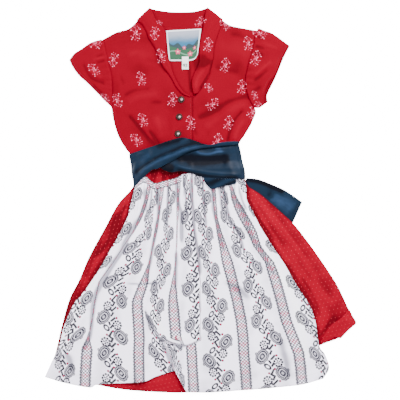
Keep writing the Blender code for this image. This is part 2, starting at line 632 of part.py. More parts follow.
for old in list(bpy.data.objects):
    bpy.data.objects.remove(old, do_unlink=True)
garment = bpy.data.collections.new("dirndl")
bpy.context.scene.collection.children.link(garment)

red_print = finish("red_print_cotton", (0.53, 0.016, 0.028), 0.8)
red_dots = finish("red_dotted_cotton", (0.55, 0.02, 0.035), 0.8)
white_print = finish("white_print_cotton", (0.76, 0.75, 0.78), 0.75)
satin = finish("blue_satin", (0.02, 0.06, 0.13), 0.35)
metal = finish("aged_metal", (0.16, 0.13, 0.11), 0.4, 0.9)
label_cloth = finish("woven_label", (0.35, 0.6, 0.58), 0.7)
tag_cloth = finish("white_tape", (0.8, 0.8, 0.78), 0.7)

bodice()
collar()
labels()
skirt()
apron()
sash()
for number, place in enumerate(BUTTONS, start=1):
    button(f"button_{number}", place)
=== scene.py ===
"""A child's dirndl laid flat on its back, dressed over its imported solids.

Sizes are in millimetres until a mesh is made. Across (+X) runs to the right as one looks down on the
dress, up (+Y) runs towards the collar and heights (+Z) are above the surface that it lies on. Right and
left in a name are the wearer's, so the right side of the dress is at -X.
"""

import math
from collections import namedtuple

import bpy
import numpy as np
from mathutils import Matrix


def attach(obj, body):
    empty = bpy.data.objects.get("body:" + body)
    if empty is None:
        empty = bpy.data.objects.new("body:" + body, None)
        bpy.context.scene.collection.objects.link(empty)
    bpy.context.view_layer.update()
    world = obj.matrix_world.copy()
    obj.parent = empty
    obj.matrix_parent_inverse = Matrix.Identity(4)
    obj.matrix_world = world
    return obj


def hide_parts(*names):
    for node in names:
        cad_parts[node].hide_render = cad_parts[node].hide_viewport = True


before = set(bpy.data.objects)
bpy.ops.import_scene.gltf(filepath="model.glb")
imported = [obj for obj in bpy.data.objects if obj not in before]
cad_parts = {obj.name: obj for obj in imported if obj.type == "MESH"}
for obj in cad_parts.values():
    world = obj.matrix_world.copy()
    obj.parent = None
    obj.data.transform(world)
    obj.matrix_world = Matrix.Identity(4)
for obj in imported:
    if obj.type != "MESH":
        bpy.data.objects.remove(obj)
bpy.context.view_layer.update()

MM = 0.001

# Walls and clearances
WALL = 0.8
WALL_RISE = 1.1
SEAM_GAP = 0.3
SEAM_INSET = 0.2
LAYER_GAP = 0.4
HANG_CLEAR = 2.5
APRON_HANG_CLEAR = 8.0
HANG_RAMP = 14.0
SASH_LIFT = 1.5
LIFT_RAMP = 26.0
SASH_HANG_RAMP = 6.0

# Fullness of the layers
BODICE_EASE = 1.6
EDGE_EASE = 16.0
SLEEVE_EASE = 1.6
SLEEVE_FOLD = 1.2
SLEEVE_SEAM_INSET = 0.6
SLEEVE_LAP = 1.8
SLEEVE_EDGE_INSET = 0.4
SLEEVE_FOLD_INSET = 0.6
SLEEVE_FRONT_LEVEL = 2.0
SLEEVE_WALL = 0.7
SEAM_LAP = 0.9
SKIRT_GATHERS = 12
SKIRT_GATHER_HEIGHT = 1.6
SKIRT_WAVES = 6
SKIRT_WAVE_HEIGHT = 2.6
SKIRT_LENGTH = 330.0
SKIRT_RIPPLES = 31
SKIRT_UNEVEN = 0.012
APRON_FULLNESS = 2.6
APRON_REST = 0.8
APRON_GATHERS = 34
APRON_WAVES = 7.3
SLEEVE_GATHERS = 13
TURNUP_LIFT = 2.6
LOWER_BAND_HEIGHT = 1.8
UPPER_BAND_HEIGHT = 2.8
CRUMPLE_WAVES = 9
CRUMPLE_RANGE = 5

# What the sash's bands lie on: at the dress's outline and well inside it, and how much higher that is over
# the skirt and apron than over the bodice
SASH_EDGE_LEVEL = 4.6
SASH_EDGE_STEP = 1.6
SASH_INNER_LEVEL = 7.9
SASH_INNER_STEP = 2.7
SASH_STEP_TOP = 60
SASH_STEP_LENGTH = 14

# Point that the skirt's folds fan out from, and the two directions between which they lie
FAN_CENTRE = (-38.0, 199.5)
FAN_START = math.radians(-24)
FAN_END = math.radians(37)
FAN_WAIST = 142.0


def table(columns, *rows):
    """Rows whose values are read by the names of their columns."""
    Row = namedtuple("Row", columns)
    return [Row(*row) for row in rows]


# Seam lines and edges of the bodice
SHOULDER_RIGHT = table("across up", (-146.5, 240.5), (-126.5, 251.3), (-107.5, 257), (-94.5, 268.5))
SHOULDER_LEFT = table("across up", (33, 269.5), (45, 262), (63, 258), (85, 254))
NECK_BACK = table(
    "across up", (-94.5, 268.5), (-75.5, 261.5), (-54.5, 258), (-24.5, 257), (4, 258.5), (19, 263),
    (33, 269.5))
NECK_RIGHT = table(
    "across up", (-94.5, 268.5), (-87.5, 264.5), (-80, 252.5), (-77, 243.5), (-69.5, 231.5), (-65, 223),
    (-56, 201.5), (-44.5, 186), (-36, 170.5), (-26, 159.5), (-11.5, 153.5))
NECK_LEFT = table(
    "across up", (33, 269.5), (26, 249.5), (20, 230), (18.5, 213.5), (16, 201.5), (13, 188), (8, 177.5),
    (0.5, 167.5), (-7.5, 156.5))
OVERLAP_EDGE = table("across up", (-11.5, 153.5), (-11, 131), (-11, 105.5), (-11, 57.5))
UNDERLAP_EDGE = table("across up", (-7.5, 156.5), (-30.5, 139), (-36.5, 121), (-36.5, 57.5))
ARMHOLE_RIGHT = table(
    "across up", (-146.5, 240.5), (-144.5, 228.5), (-142, 218.5), (-138.5, 201.5), (-134, 180.5),
    (-133.5, 140))
ARMHOLE_LEFT = table(
    "across up", (85, 254), (83, 242), (80.5, 227.5), (74, 204.5), (69.5, 183.5), (69.5, 171.5), (74, 155),
    (82, 138.5))
SIDE_RIGHT = table(
    "across up", (-133.5, 140), (-129, 115), (-121, 92), (-107, 71), (-96.5, 63.5), (-92, 57.5))
SIDE_LEFT = table(
    "across up", (82, 138.5), (83.3, 131), (79, 120), (75.2, 111.5), (66, 96.5), (59, 86), (55.5, 72.5),
    (56.5, 57.5))
WAIST = table("across up", (-92, 57.5), (56.5, 57.5))
WAIST_RIGHT = table("across up", (-92, 57.5), (-11, 57.5))
WAIST_LEFT = table("across up", (-36.5, 57.5), (56.5, 57.5))

# Edges of the sleeves
SLEEVE_TOP_RIGHT = table(
    "across up", (-146.5, 240.5), (-152, 240), (-165.5, 235.5), (-177.5, 227), (-188.5, 220), (-196.5, 210))
SLEEVE_HEM_RIGHT = table(
    "across up", (-196.5, 210), (-191.5, 199.5), (-182.5, 187), (-171, 176.5), (-157.5, 163.5),
    (-145.5, 151))
UNDERARM_RIGHT = table("across up", (-133.5, 140), (-145.5, 151))
SLEEVE_TOP_LEFT = table("across up", (85, 254), (87, 257.5), (96, 254.2), (109.8, 248.8), (134.3, 231))
SLEEVE_HEM_LEFT = table(
    "across up", (134.3, 231), (125, 212.5), (115.3, 188.5), (108.2, 173.5), (100.5, 157.5), (101.5, 147))
SLEEVE_FRONT_HEM_LEFT = table(
    "across up", (134.3, 231), (121, 210.5), (114, 191), (102, 174.5), (97, 160.5), (95.5, 145))
UNDERARM_LEFT = table("across up", (82, 138.5), (90, 139), (101.5, 147))
UNDERARM_FRONT_LEFT = table("across up", (82, 138.5), (88, 139), (95.5, 145))

SLEEVE_COLUMNS = 48
SLEEVE_ROWS = 30
SLEEVE_FOLD_DEGREES = (54, 18, -18, -54)

# Free edge of the collar: down the right front, round the back, and down the left front
COLLAR_RIGHT = table(
    "across up", (-74.5, 287.5), (-65, 267.5), (-54, 257), (-50.5, 242.5), (-51.5, 223), (-45, 206),
    (-40.5, 188.5), (-28, 165.5), (-15.5, 156.8))
COLLAR_BACK = table(
    "across up", (-74.5, 287.5), (-63.5, 284.8), (-42.5, 282.2), (-17, 282.2), (-3.5, 284), (9.5, 287.8))
COLLAR_LEFT = table(
    "across up", (9.5, 287.8), (5.5, 271), (4, 257), (0, 239.5), (-1.5, 225.5), (-1.5, 207.5), (-6.6, 195),
    (-12, 182), (-12.3, 170), (-9.6, 158.5))
COLLAR_FRONT_LEVEL = 3.2
COLLAR_REACH = 0.97
COLLAR_FOLD_STEPS = 8
COLLAR_FOLD_RIGHT = (-0.72, 0.69)
COLLAR_FOLD_LEFT = (0.66, 0.75)
COLLAR_FRONT_ROWS = 64
COLLAR_BACK_ROWS = 44
COLLAR_COLUMNS = 14
COLLAR_SEAM_INSET = 0.7
COLLAR_BACK_LEVEL = 0.5
COLLAR_WALL = 1.0
COLLAR_CLEAR = 0.75

# Edges of the skirt
SKIRT_RIGHT = table(
    "across up", (-92, 57.5), (-98.5, 30.5), (-103, 17), (-123.5, -6), (-143.5, -42.5), (-166.5, -84.5),
    (-181.5, -119.5), (-196, -148), (-207.5, -188), (-215, -221), (-222.5, -248.5))
SKIRT_LEFT = table(
    "across up", (56.5, 57.5), (65.5, 36.5), (72, 21), (91, 8.5), (122.5, -19), (140, -35.5),
    (157, -56.5), (174.5, -80.5), (192, -106), (206.8, -130), (221.5, -161), (232, -182))
SKIRT_HEM = table(
    "across up", (-222.5, -248.5), (-188, -266.5), (-152.5, -277), (-108.5, -284.5), (-53, -288),
    (-20, -288), (37, -281.5), (92.5, -265), (143.5, -241), (179.5, -217.5), (209.5, -205), (232, -182))
TURNUP_OUTER = table(
    "across up", (221, -162.5), (223.4, -164.2), (228.4, -173.8), (233.3, -183.6), (226.5, -190.2),
    (219.5, -196.8), (211.2, -205.6), (208.6, -206.4), (200.5, -204.8), (190, -210), (180.8, -216))
TURNUP_INNER = table(
    "across up", (220.3, -165), (209.8, -175.5), (199, -183.5), (191.5, -191.5), (184.5, -201),
    (179.8, -210))

# Edges of the apron
APRON_TOP = table(
    "across up", (-96.5, 24.5), (-82.5, 35.5), (-69, 26), (-53, 29), (-35.5, 34), (-23.5, 39.5),
    (-0.5, 42.5), (29.5, 44), (60, 39))
APRON_RIGHT = table(
    "across up", (-96.5, 24.5), (-106, -14), (-109, -26.5), (-126.5, -60), (-149.5, -100),
    (-171, -133), (-190, -157), (-204, -190), (-211.5, -218.5), (-224, -245), (-233, -265))
APRON_LEFT = table(
    "across up", (60, 39), (68, 24), (69, 1.5), (77, -14), (90, -40), (108, -68.5), (125.8, -95.5),
    (143.3, -126), (161, -152.5), (171.5, -179), (177.5, -216.5), (187.5, -232), (193, -251.5),
    (184.5, -267.5))
APRON_HEM = table(
    "across up", (-233, -265), (-201.5, -273.5), (-165.5, -280), (-155, -276), (-122, -273),
    (-86.5, -271.5), (-64.5, -262.5), (-38, -254.5))
APRON_HEM_NOTCH = table("across up", (-38, -254.5), (-30.5, -269), (-20.5, -287))
APRON_HEM_LEFT = table(
    "across up", (-20.5, -287), (13, -287.5), (57.5, -284.5), (101.5, -281.5), (150, -276.5),
    (184.5, -267.5))

# Edges of the sash
SASH_BACK_TOP = table("across up", (-105.5, 68), (-23, 81.5), (57, 85.3))
SASH_BACK_LOW = table("across up", (-98.5, 20), (-15.5, 24.5), (66, 32.5))
TAIL_TOP = table("across up", (69.5, 33.5), (86.5, 31.6), (104.5, 25), (127.5, 14.6), (152.8, -2.6))
TAIL_LOW = table("across up", (56.5, 5), (74.5, -8.5), (92.5, -20.5), (110, -33), (134, -44.5))
LOWER_TOP = table("across up", (-62.5, 57), (-21.5, 74), (-0.5, 80.3), (19, 81.6), (57.5, 85.5))
LOWER_LOW = table(
    "across up", (-60, 49), (-53, 44.3), (-43, 41.5), (-34, 43.2), (-26, 42.8), (-14, 40), (5.5, 34),
    (26, 32.5), (67.5, 32))
LOWER_END = table("across up", (57.5, 85.5), (60.3, 72.4), (62.8, 58), (66.8, 42.4), (67.5, 32))
UPPER_TOP = table(
    "across up", (-106.5, 69), (-75.5, 79), (-34, 92.6), (-17, 91.6), (11.5, 82), (32.5, 85.8), (57.5, 88))
UPPER_LOW = table(
    "across up", (-99, 19.5), (-74.5, 43.5), (-63.5, 47), (-47.5, 55.5), (-21, 70), (0.5, 77), (19, 79.7),
    (58, 83.6))
FLAP_TOP = table("across up", (4.5, 34), (26, 32.4), (53, 32))
FLAP_LOW = table("across up", (7, 26), (16.5, 17), (32.5, 20.5), (53, 24.5))

# Stitches: how far their middles lie above the cloth, and how far inside its edge each row of them runs
STITCH_LIFT = 0.06
FRONT_STITCH = 3.5
SLEEVE_STITCH = 4.5
APRON_HEM_STITCH = 14
APRON_SIDE_STITCH = 6
TAIL_STITCH = 3.5
LABEL_STITCH = 1.6

# Labels at the back of the neck
LABEL_TOP = table("across up", (-51.5, 254), (1.5, 257))
LABEL_LOW = table("across up", (-47, 208.5), (-12.5, 209.5), (-4, 218))
TAG_TOP = table("across up", (-27.5, 215), (-17.5, 215))
TAG_LOW = table("across up", (-27.5, 196), (-17.5, 196))
LABEL_LEVEL = 1.45
NUMBER_ACROSS, NUMBER_UP = -22.5, 201.5
NUMBER_HEIGHT = 7.0
NUMBER_INK = 0.03
TAPE_LEVEL = 1.06
TAPE_WALL = 0.3
TAPE_EDGES = (1.6, -2.4)

# Metal buttons: the sides and radius of the circle that they start from, and how each ring after it widens
# or narrows on the one before and how far it rises
BUTTON_SIDES = 40
BUTTON_FOOT = 4.0
BUTTON_PROFILE = table(
    "wide rise", (1.14, 0.0), (1.09, 0.35), (1.0, 0.5), (0.95, 0.3), (0.93, 0.0), (0.95, -0.4), (0.97, -0.1),
    (0.96, 0.5), (0.92, 0.65), (0.86, 0.55), (0.76, 0.45), (0.6, 0.3), (0.4, 0.12), (0.3, 0.02))

# Levels above a button's foot at which its dome and its rim start, and how far out its rim and petals lie
BUTTON_DOME_LEVEL = 1.6
BUTTON_RIM_LEVEL = 0.8
BUTTON_RIM = 4.6
BUTTON_PETALS = 2.4

# Radius of the ring round a button's middle on which the cloth's height is measured, and its gap to the cloth
BUTTON_SEAT = 5
BUTTON_GAP = 0.2
BUTTONS = table("across up", (-28.5, 150.5), (-31.5, 124.5), (-33.5, 99.3))

# Lines of the finer folds: how wide each is, how far it rises or sinks, and its path
FRONT_FOLDS = table(
    "width height path", (5, -0.8, ((-116, 155), (-98, 164), (-72, 167.5))),
    (8, 0.7, ((-112, 146), (-90, 155), (-60, 158))), (4, -0.5, ((-84, 211), (-63, 207))),
    (3, -1.2, ((-108, 129), (-94, 112), (-76, 90), (-66, 80))),
    (3, -1.2, ((-79, 107), (-70, 95), (-60, 80))), (5, 0.7, ((-88, 118), (-70, 88))),
    (6, 0.6, ((-66, 128), (-58, 92))), (4, -0.5, ((-77, 147), (-54, 146))),
    (6, -1.0, ((-6, 122), (20, 133.5), (43, 147.5), (76, 158))),
    (9, 0.8, ((4, 108), (24, 121), (52, 139), (72, 143))),
    (3.5, -1.3, ((40, 84), (44, 103), (52, 121), (66, 137))), (5, 0.8, ((50, 86), (56, 106), (66, 122))),
    (3, -0.6, ((-10, 112), (-5, 94))), (6, -0.6, ((43, 250), (78, 241))), (6, -0.5, ((20, 200), (60, 190))),
    (4, -0.6, ((-48, 128), (-44, 100))), (3, -0.5, ((10, 92), (14, 108))),
    (5, 0.5, ((-110, 215), (-90, 225))), (4, -0.5, ((-122, 190), (-112, 170))),
    (3, -0.6, ((-72, 226), (-62, 205), (-50, 187))))
SLEEVE_FOLDS = table(
    "width height path", (3, -1.0, ((-176, 206), (-164, 184), (-142, 173.5))),
    (3, -0.9, ((-163, 173), (-136, 149))), (2.2, -0.9, ((-144.5, 219), (-158, 214))),
    (2.2, -0.9, ((-142, 209), (-157, 205))), (2.2, -0.8, ((-145, 229), (-160, 226))),
    (2.5, 0.7, ((-143, 214), (-162, 209))), (3, 0.8, ((-168, 196), (-146, 182))),
    (2.4, -0.9, ((83, 245), (96, 240))), (2.4, -0.9, ((81, 232), (97, 227))),
    (3, 0.9, ((80, 186), (107, 209))), (2.6, -0.9, ((80, 178), (102, 196))),
    (2.4, -0.8, ((79, 222), (94, 217))), (3, -0.8, ((74, 160), (92, 170))),
    (3, 0.7, ((90, 236), (118, 226))))
APRON_FOLDS = table(
    "width height path",
    (3.2, -0.9, ((-81, 22), (-82.5, -5.5), (-88, -22), (-109, -58), (-117, -76.5), (-131.5, -97),
        (-152, -132), (-158, -148.5), (-161.5, -175.5), (-164.5, -202), (-176.5, -228))),
    (2.8, -0.95, ((-62, 24), (-64, 6.5), (-62, -17), (-65.5, -41.5), (-69.5, -62), (-74, -87),
        (-78, -105.5), (-81.5, -126))),
    (2.8, -1.0, ((-36.5, 34), (-33, -5.5), (-29, -17), (-28.5, -34), (-28, -66))),
    (2.6, -1.0, ((-14, 38), (-13.5, 15.5), (-10.5, -20), (-9, -44.5), (-5, -70), (-2, -91.5),
        (-0.5, -116))),
    (2.6, -0.9, ((16, 40), (18, 12), (19.5, -12.5), (24, -34), (29.5, -55.5), (36, -80))),
    (2.6, -0.95, ((32, 30), (37, 0.5), (44, -29.5), (52.5, -41.5), (58.5, -53), (66, -80))),
    (3, -0.7, ((-36, -70), (-36.5, -104.5), (-38, -138))),
    (3, -0.8, ((48, 24), (50.5, 3.5), (64, -20.5), (80.5, -59.5), (92.5, -77.5), (114, -116))),
    (2.2, -0.8, ((-48.5, 28), (-48.5, -7), (-50, -36))), (2.2, -0.8, ((3, 38), (5.5, -7), (9, -42))),
    (2.0, -0.6, ((-73, 24), (-74, 0), (-79, -20))), (2.0, -0.6, ((-25, 36), (-22, 5), (-20, -25))),
    (2.0, -0.6, ((26, 34), (30, 5), (33, -20))), (2.0, -0.6, ((57, 24), (62, 0), (72, -20))),
    (1.6, -0.5, ((-112, -124), (-98, -125), (-83, -125), (-58, -122.5))),
    (2.6, -0.5, ((-83, -162), (-72.5, -187), (-58, -208), (-40, -214), (-22, -217), (0, -209.5))),
    (3.4, -0.75, ((-60, -208), (-50, -228), (-43, -243), (-38, -253))),
    (6, 0.6, ((-76, -150), (-64, -182), (-46, -203), (-14, -204))),
    (5, -0.4, ((30, -118), (60, -135), (78, -150))), (7, 0.45, ((-140, -70), (-175, -150), (-205, -235))),
    (7, 0.5, ((100, -70), (140, -150), (160, -240))), (4, -0.5, ((-213, -214), (-196, -236), (-190, -262))),
    (5, -0.35, ((118, -205), (128, -240), (132, -268))))
SKIRT_CREASES = table(
    "width height path", (4.5, -1.2, ((181, -204), (188, -191), (198, -180), (213, -168.5))),
    (5, 0.8, ((168, -120), (190, -150), (210, -152))), (5, -0.4, ((96, -30), (132, -84), (168, -138))),
    (4, 0.8, ((92, -6), (128, -52), (160, -96))), (4, -0.8, ((-118, -12), (-150, -70), (-186, -150))),
    (4, 0.8, ((-108, -10), (-138, -60), (-165, -112))))
# Painted shade and light on the skirt: shadows under the sash, by the apron and hem, and streaks
SKIRT_TONES = table(
    "width height path", (13, -1.2, ((-84, 46), (-60, 47), (-42, 43), (-24, 38))),
    (8, -1.0, ((-52, 40), (-40, 42), (-28, 40))),
    (3, -0.9, ((-110.5, -4), (-126, -36), (-134, -54), (-144.5, -71.5), (-157, -84))),
    (9, -1.1, ((-183, -118), (-197, -150), (-208, -185), (-216, -220))),
    (18, -0.62, ((-120, -20), (-150, -70), (-178, -115))), (3, -0.7, ((72, -10), (90, -32), (112, -62))),
    (5, -0.5, ((82, -6), (104, -34), (128, -70))), (6, 0.5, ((100, -16), (140, -66), (176, -118))),
    (5, -0.5, ((128, -92), (152, -130), (172, -168))), (3, -0.6, ((150, -112), (170, -146), (180, -176))),
    (3.5, -0.7, ((178, -207), (186, -194), (195, -183), (206, -174.5))),
    (6, -0.6, ((-140, -84), (-168, -126), (-189, -154), (-204, -188), (-213, -222))))

# Shadows that the apron's sides throw on the skirt
APRON_SHADOWS = table("width height path", (3.2, -1.1, APRON_RIGHT), (5.5, -1.3, APRON_LEFT))

# Folds of the sash
BAND_FOLDS = table(
    "width height path",
    (3.2, -1.8, ((-100, 40), (-72.5, 58.5), (-51.5, 69), (-26, 79.5), (-5, 84), (10, 84.5))),
    (4.6, 1.5, ((-97, 27), (-93, 35), (-80, 47.5), (-60.5, 58), (-38, 67), (-20, 74), (-3.5, 79),
        (20, 84.5), (55, 89))), (7, -0.9, ((-78, 74), (-50, 84), (-24, 90), (-8, 88))),
    (6, 0.6, ((-96, 60), (-84, 64), (-70, 68))))
LOWER_FOLDS = table(
    "width height path", (5.5, -1.4, ((-30, 62), (0, 62), (38, 62))),
    (4.5, -1.0, ((-14, 53.5), (10, 53), (39, 54))),
    (2.6, 0.9, ((-12, 75), (5.5, 69.5), (22, 70), (39, 72))), (4, 0.7, ((14, 79), (28, 77), (40, 78))),
    (2.4, 0.9, ((-40, 52), (-15, 45.5), (12, 41), (38.5, 38.5), (60, 38))))

# Places on the sash that catch the light or lie in shadow
BAND_TONES = table(
    "width height path", (5.5, -0.8, ((-70, 80), (-45, 86), (-22, 91), (-6, 89))),
    (3.5, -0.8, ((-101, 38), (-72.5, 58.5), (-51.5, 69), (-26, 79.5), (-5, 84), (10, 84.5))),
    (3.2, 0.55, ((-92, 38), (-80, 49), (-60.5, 60), (-38, 69), (-20, 76.5), (-3.5, 81), (10, 83))),
    (7, 0.35, ((-92, 56), (-80, 62), (-70, 66))), (3, 0.4, ((18, 84), (36, 88), (56, 91))),
    (2.6, 0.8, ((-32, 86), (-20, 91), (-14, 91))), (3, -1.2, ((-10, 89), (-2, 85.5), (8, 83))))
LOWER_TONES = table(
    "width height path", (5, -1.0, ((-38, 61), (-14, 63), (12, 62), (44, 64))),
    (4.5, -0.8, ((-22, 56), (2, 55.5), (46, 60))), (6, -1.3, ((-62, 54), (-50, 49), (-38, 45))),
    (2.2, 1.1, ((-10, 74), (2, 69.5), (14, 69), (26, 72), (38, 72.5))),
    (3.5, 0.7, ((18, 79), (28, 77), (36, 79))), (1.8, 0.6, ((-40, 54), (-22, 48), (-8, 45))),
    (4, 0.35, ((-2, 44), (20, 40), (40, 40))), (2.4, -0.7, ((-22, 76), (-6, 78), (12, 82))),
    (5, 0.3, ((48, 80), (54, 60), (60, 42))),
    (2.5, -0.6, ((-36, 45), (-20, 43), (0, 38), (30, 35), (60, 34))))
TAIL_TONES = table(
    "width height path", (5, -1.5, ((62, 34), (88, 30), (110, 20.5), (128, 11))),
    (5, -0.4, ((70, 10), (80, 4))), (12, 0.6, ((104, 10), (126, -4), (140, -16))),
    (5, -0.7, ((98, 12), (112, 4))), (2, -0.5, ((150, 0), (144, -14), (132, -40))))
# Painted shade and light at the neck, inside the collar and on the back; they also raise the back
NECK_TONES = table(
    "width height path", (12, -0.55, ((11, 217), (-1, 208), (-13, 201))),
    (4, -0.6, ((6, 280), (2, 268), (-1, 256))), (5, -0.5, ((-64, 279), (-58, 269), (-51, 258))),
    (6, -0.6, ((8, 222), (5, 208), (0, 196))), (4, -0.9, ((16, 214), (11, 204), (3, 194))),
    (3, 0.7, ((15, 204), (4, 194), (-4, 183), (-8, 166))),
    (1.7, -1.4, ((18.5, 212), (17.5, 203), (13, 190), (6, 178), (-3, 163))),
    (2.5, -1.1, ((-17, 208), (-16, 180), (-14, 158))), (6, -0.5, ((-6, 214), (-6, 190))))

# Flower sprigs printed on the red cotton: place, turn in degrees, and size
SPRIGS = table(
    "across up turn size", (-97, 250, 0, 1.3), (-67.5, 251, 170, 1.12), (-61, 266, 60, 0.5),
    (-59, 215, 10, 1.12), (0, 265.5, 150, 1.12), (11.5, 232, -10, 1.12), (37, 262.5, 40, 0.95),
    (71.5, 234, 5, 1.12), (89.5, 249, 70, 1.1), (83, 212, -20, 1.2), (37, 201.5, -15, 1.12),
    (62, 169, -8, 1.12), (12.5, 168.5, 35, 0.8), (18, 143.5, -50, 1.12), (78, 132, -30, 1.12),
    (42, 115, -15, 1.12), (25.5, 89, -20, 1.12), (-14.5, 115, 8, 1.12), (-42, 150, -12, 1.12),
    (-88.5, 181.5, 12, 1.12), (-129.5, 211, 165, 1.12), (-159, 195, 40, 1.12), (-158, 234, 75, 1.12),
    (-124, 150, 200, 1.12), (-142.5, 152, 30, 0.85), (-86, 119.5, 20, 1.12), (-95.5, 90, 40, 1.12),
    (81.5, 157, 20, 0.7), (86, 140, 0, 0.9))

# Lines on the apron where its print's place is known, from its top to its hem: the middles of the bands,
# the long fold that hides a band, and below the folded middle the pleat that runs up from the notch
APRON_BANDS = table(
    "up first second third fold fourth fifth", (-290, -173, -90.5, -9.5, 8, 70, 154),
    (-229, -169.5, -92, -20, 4, 65, 147), (-217, -169, -91.5, -30, 1, 64.5, 143),
    (-206.5, -167.5, -91, -36, 0, 64, 138.5), (-179.5, -162.5, -94, -38.5, 0, 61, 128),
    (-149.5, -157, -94, -41, 0, 55, 120.5), (-121, -151, -83.5, -40, -0.5, 48, 112.5),
    (-92.5, -130, -76, -37, -2, 40.5, 103), (-68.5, -115, -71, -35.5, -5, 34, 85),
    (-47.5, -99.5, -66.5, -35, -9, 28, 77), (-25, -89, -62.5, -34, -10.5, 23.5, 64.5),
    (0.5, -80, -59, -33.5, -12.5, 21.5, 51.5), (23, -75.5, -56, -32, -14, 20, 44.5))
PLEAT_BANDS = table(
    "up first second pleat third fourth fifth", (-290, -173, -90.5, -30, -9.5, 70, 154),
    (-250, -171, -91.5, -40, -12, 67, 150), (-229, -169.5, -92, -45, -13, 65, 147),
    (-206.5, -167.5, -91, -56, -15, 64, 138.5), (-160, -158, -94, -83, -25, 57, 123))
FOLDED_MIDDLE = table(
    "across up", (-83, -162), (-72.5, -187), (-58, -208), (-40, -214), (-22, -217), (3, -208))

# Half of the width that shows at each of those lines; where it is small, the line lies hidden in a fold
SHOWN_WIDTHS = table(
    "up first second third fold pleat fourth fifth", (-290, 10, 10, 10, 0.8, 0.8, 10, 10),
    (-222, 10, 10, 10, 0.8, 0.8, 10, 10), (-206, 3, 10, 10, 0.8, 0.8, 10, 10),
    (-195, 0.7, 10, 10, 0.8, 0.8, 10, 10), (-165, 0.7, 10, 10, 0.8, 0.8, 10, 10),
    (-138, 0.7, 9.5, 7.5, 0.8, 0.8, 10, 10), (-126, 0.7, 9, 4.5, 0.8, 0.8, 10, 10),
    (-108, 0.7, 5, 2, 0.8, 0.8, 10, 9.5), (-92, 0.7, 2, 1.2, 0.8, 0.8, 10, 8),
    (-77, 0.7, 1.2, 1.2, 0.8, 0.8, 8, 7), (-56, 0.8, 2.8, 1.2, 0.8, 0.8, 6, 8),
    (-46, 1.5, 3.5, 1.2, 0.8, 0.8, 5, 9), (-31, 3, 2.5, 1.4, 0.8, 0.8, 3.5, 9.5),
    (-12, 3, 2.5, 2.4, 1, 0.8, 3, 9), (3, 3, 3, 2.6, 2.5, 0.8, 3.2, 6), (23, 3, 3, 3, 4, 0.8, 3.5, 3))

# How far across the print the two sides of each line are, in repeats; a fold hides the cloth between them
BAND_REPEATS = table(
    "name low high", ("first", 0.88, 1.12), ("second", 1.88, 2.12), ("third", 2.88, 3.12),
    ("fold", 3.56, 4.17), ("fourth", 4.88, 5.12), ("fifth", 5.88, 6.12))
PLEAT_REPEATS = table(
    "name low high", ("first", 0.88, 1.12), ("second", 1.88, 2.12), ("pleat", 2.66, 3.3),
    ("third", 3.88, 4.12), ("fourth", 4.88, 5.12), ("fifth", 5.88, 6.12))
BAND_PITCH = 82.0
HEM_TO_FLOWER = 47.0
PRINT_HEM = table(
    "across up", (-233, -276), (-200, -275.5), (-145, -275), (-60, -286), (12, -287), (95, -280),
    (165, -277), (195, -276))

# Below this level the pleat's own lines are followed. Under the folded middle, on the wearer's right of the
# pleat's end, the print that shows comes from this much further down the cloth
PLEAT_LEVEL = -222
PLEAT_END = -38
PLEAT_DROP = 13.0

# How much more cloth a trough hides, over how many rows of the grid that is evened out, and how much of what
# shows and of the print lies beyond the outermost lines
FOLD_HIDES = 3.0
HIDDEN_RUN = 13
MARGIN_SHOWN = 60
MARGIN_PRINT = 76
SQUEEZE_LIMIT = 2.5

# Distance across from the dress's middle to where the band along the apron's top is measured from
EDGING_START = 126

# How much light the studio's lamps and sky throw on flat cloth
STUDIO_LIGHT = (3.95, 3.9, 4.25)


def ease(part):
    """A soft step from 0 to 1."""
    part = np.clip(part, 0.0, 1.0)
    return part * part * (3 - 2 * part)


def smooth_line(rows):
    """A dense smooth curve through a seam's points."""
    points = np.array([(row.across, row.up) for row in rows], float)
    ends = np.vstack([2 * points[0] - points[1], points, 2 * points[-1] - points[-2]])
    dense = [points[0]]
    for before, start, end, after in zip(ends, ends[1:], ends[2:], ends[3:]):
        for step in np.linspace(0, 1, 9)[1:]:
            dense.append(0.5 * (
                2 * start + (end - before) * step + (2 * before - 5 * start + 4 * end - after) * step ** 2
                + (3 * start - before - 3 * end + after) * step ** 3))
    return np.array(dense)


def edge(*parts):
    """One line from several seams, with a corner where two of them meet."""
    lines = [smooth_line(part) for part in parts]
    return np.vstack([lines[0]] + [line[1:] for line in lines[1:]])


def spaced(line, stops):
    """Points of a line at the given parts of its length."""
    lengths = np.hypot(*np.diff(line, axis=0).T)
    travelled = np.concatenate([[0], np.cumsum(lengths)]) / lengths.sum()
    return np.stack([np.interp(stops, travelled, line[:, axis]) for axis in (0, 1)], axis=1)


def steps(count, crowding=1.0):
    """count steps from 0 to 1, closer together at the start where crowding is above 1."""
    return np.linspace(0, 1, count + 1) ** crowding


def panel(top, bottom, right, left, columns, rows):
    """A grid of points between four edges, from the wearer's right to left and from top to bottom.

    columns and rows hold the parts of the width and length at which the grid's points lie.
    """
    top, bottom = spaced(top, columns), spaced(bottom, columns)
    right, left = spaced(right, rows), spaced(left, rows)
    across = columns[None, :, None]
    down = rows[:, None, None]
    between_ends = (1 - down) * top[None] + down * bottom[None]
    between_sides = (1 - across) * right[:, None] + across * left[:, None]
    corners = (1 - down) * ((1 - across) * top[0] + across * top[-1]) + down * (
        (1 - across) * bottom[0] + across * bottom[-1])
    return between_ends + between_sides - corners


def inset(spots, distance=SEAM_INSET):
    """The same grid with its four edges drawn in from the seam lines."""
    drawn = spots.copy()
    for edge_line, next_line in (
            (np.s_[:, 0], np.s_[:, 1]), (np.s_[:, -1], np.s_[:, -2]),
            (np.s_[0], np.s_[1]), (np.s_[-1], np.s_[-2])):
        inward = drawn[next_line] - drawn[edge_line]
        length = np.maximum(np.hypot(inward[:, 0], inward[:, 1]), 1e-6)[:, None]
        drawn[edge_line] += inward / length * np.minimum(distance, 0.4 * length)
    return drawn


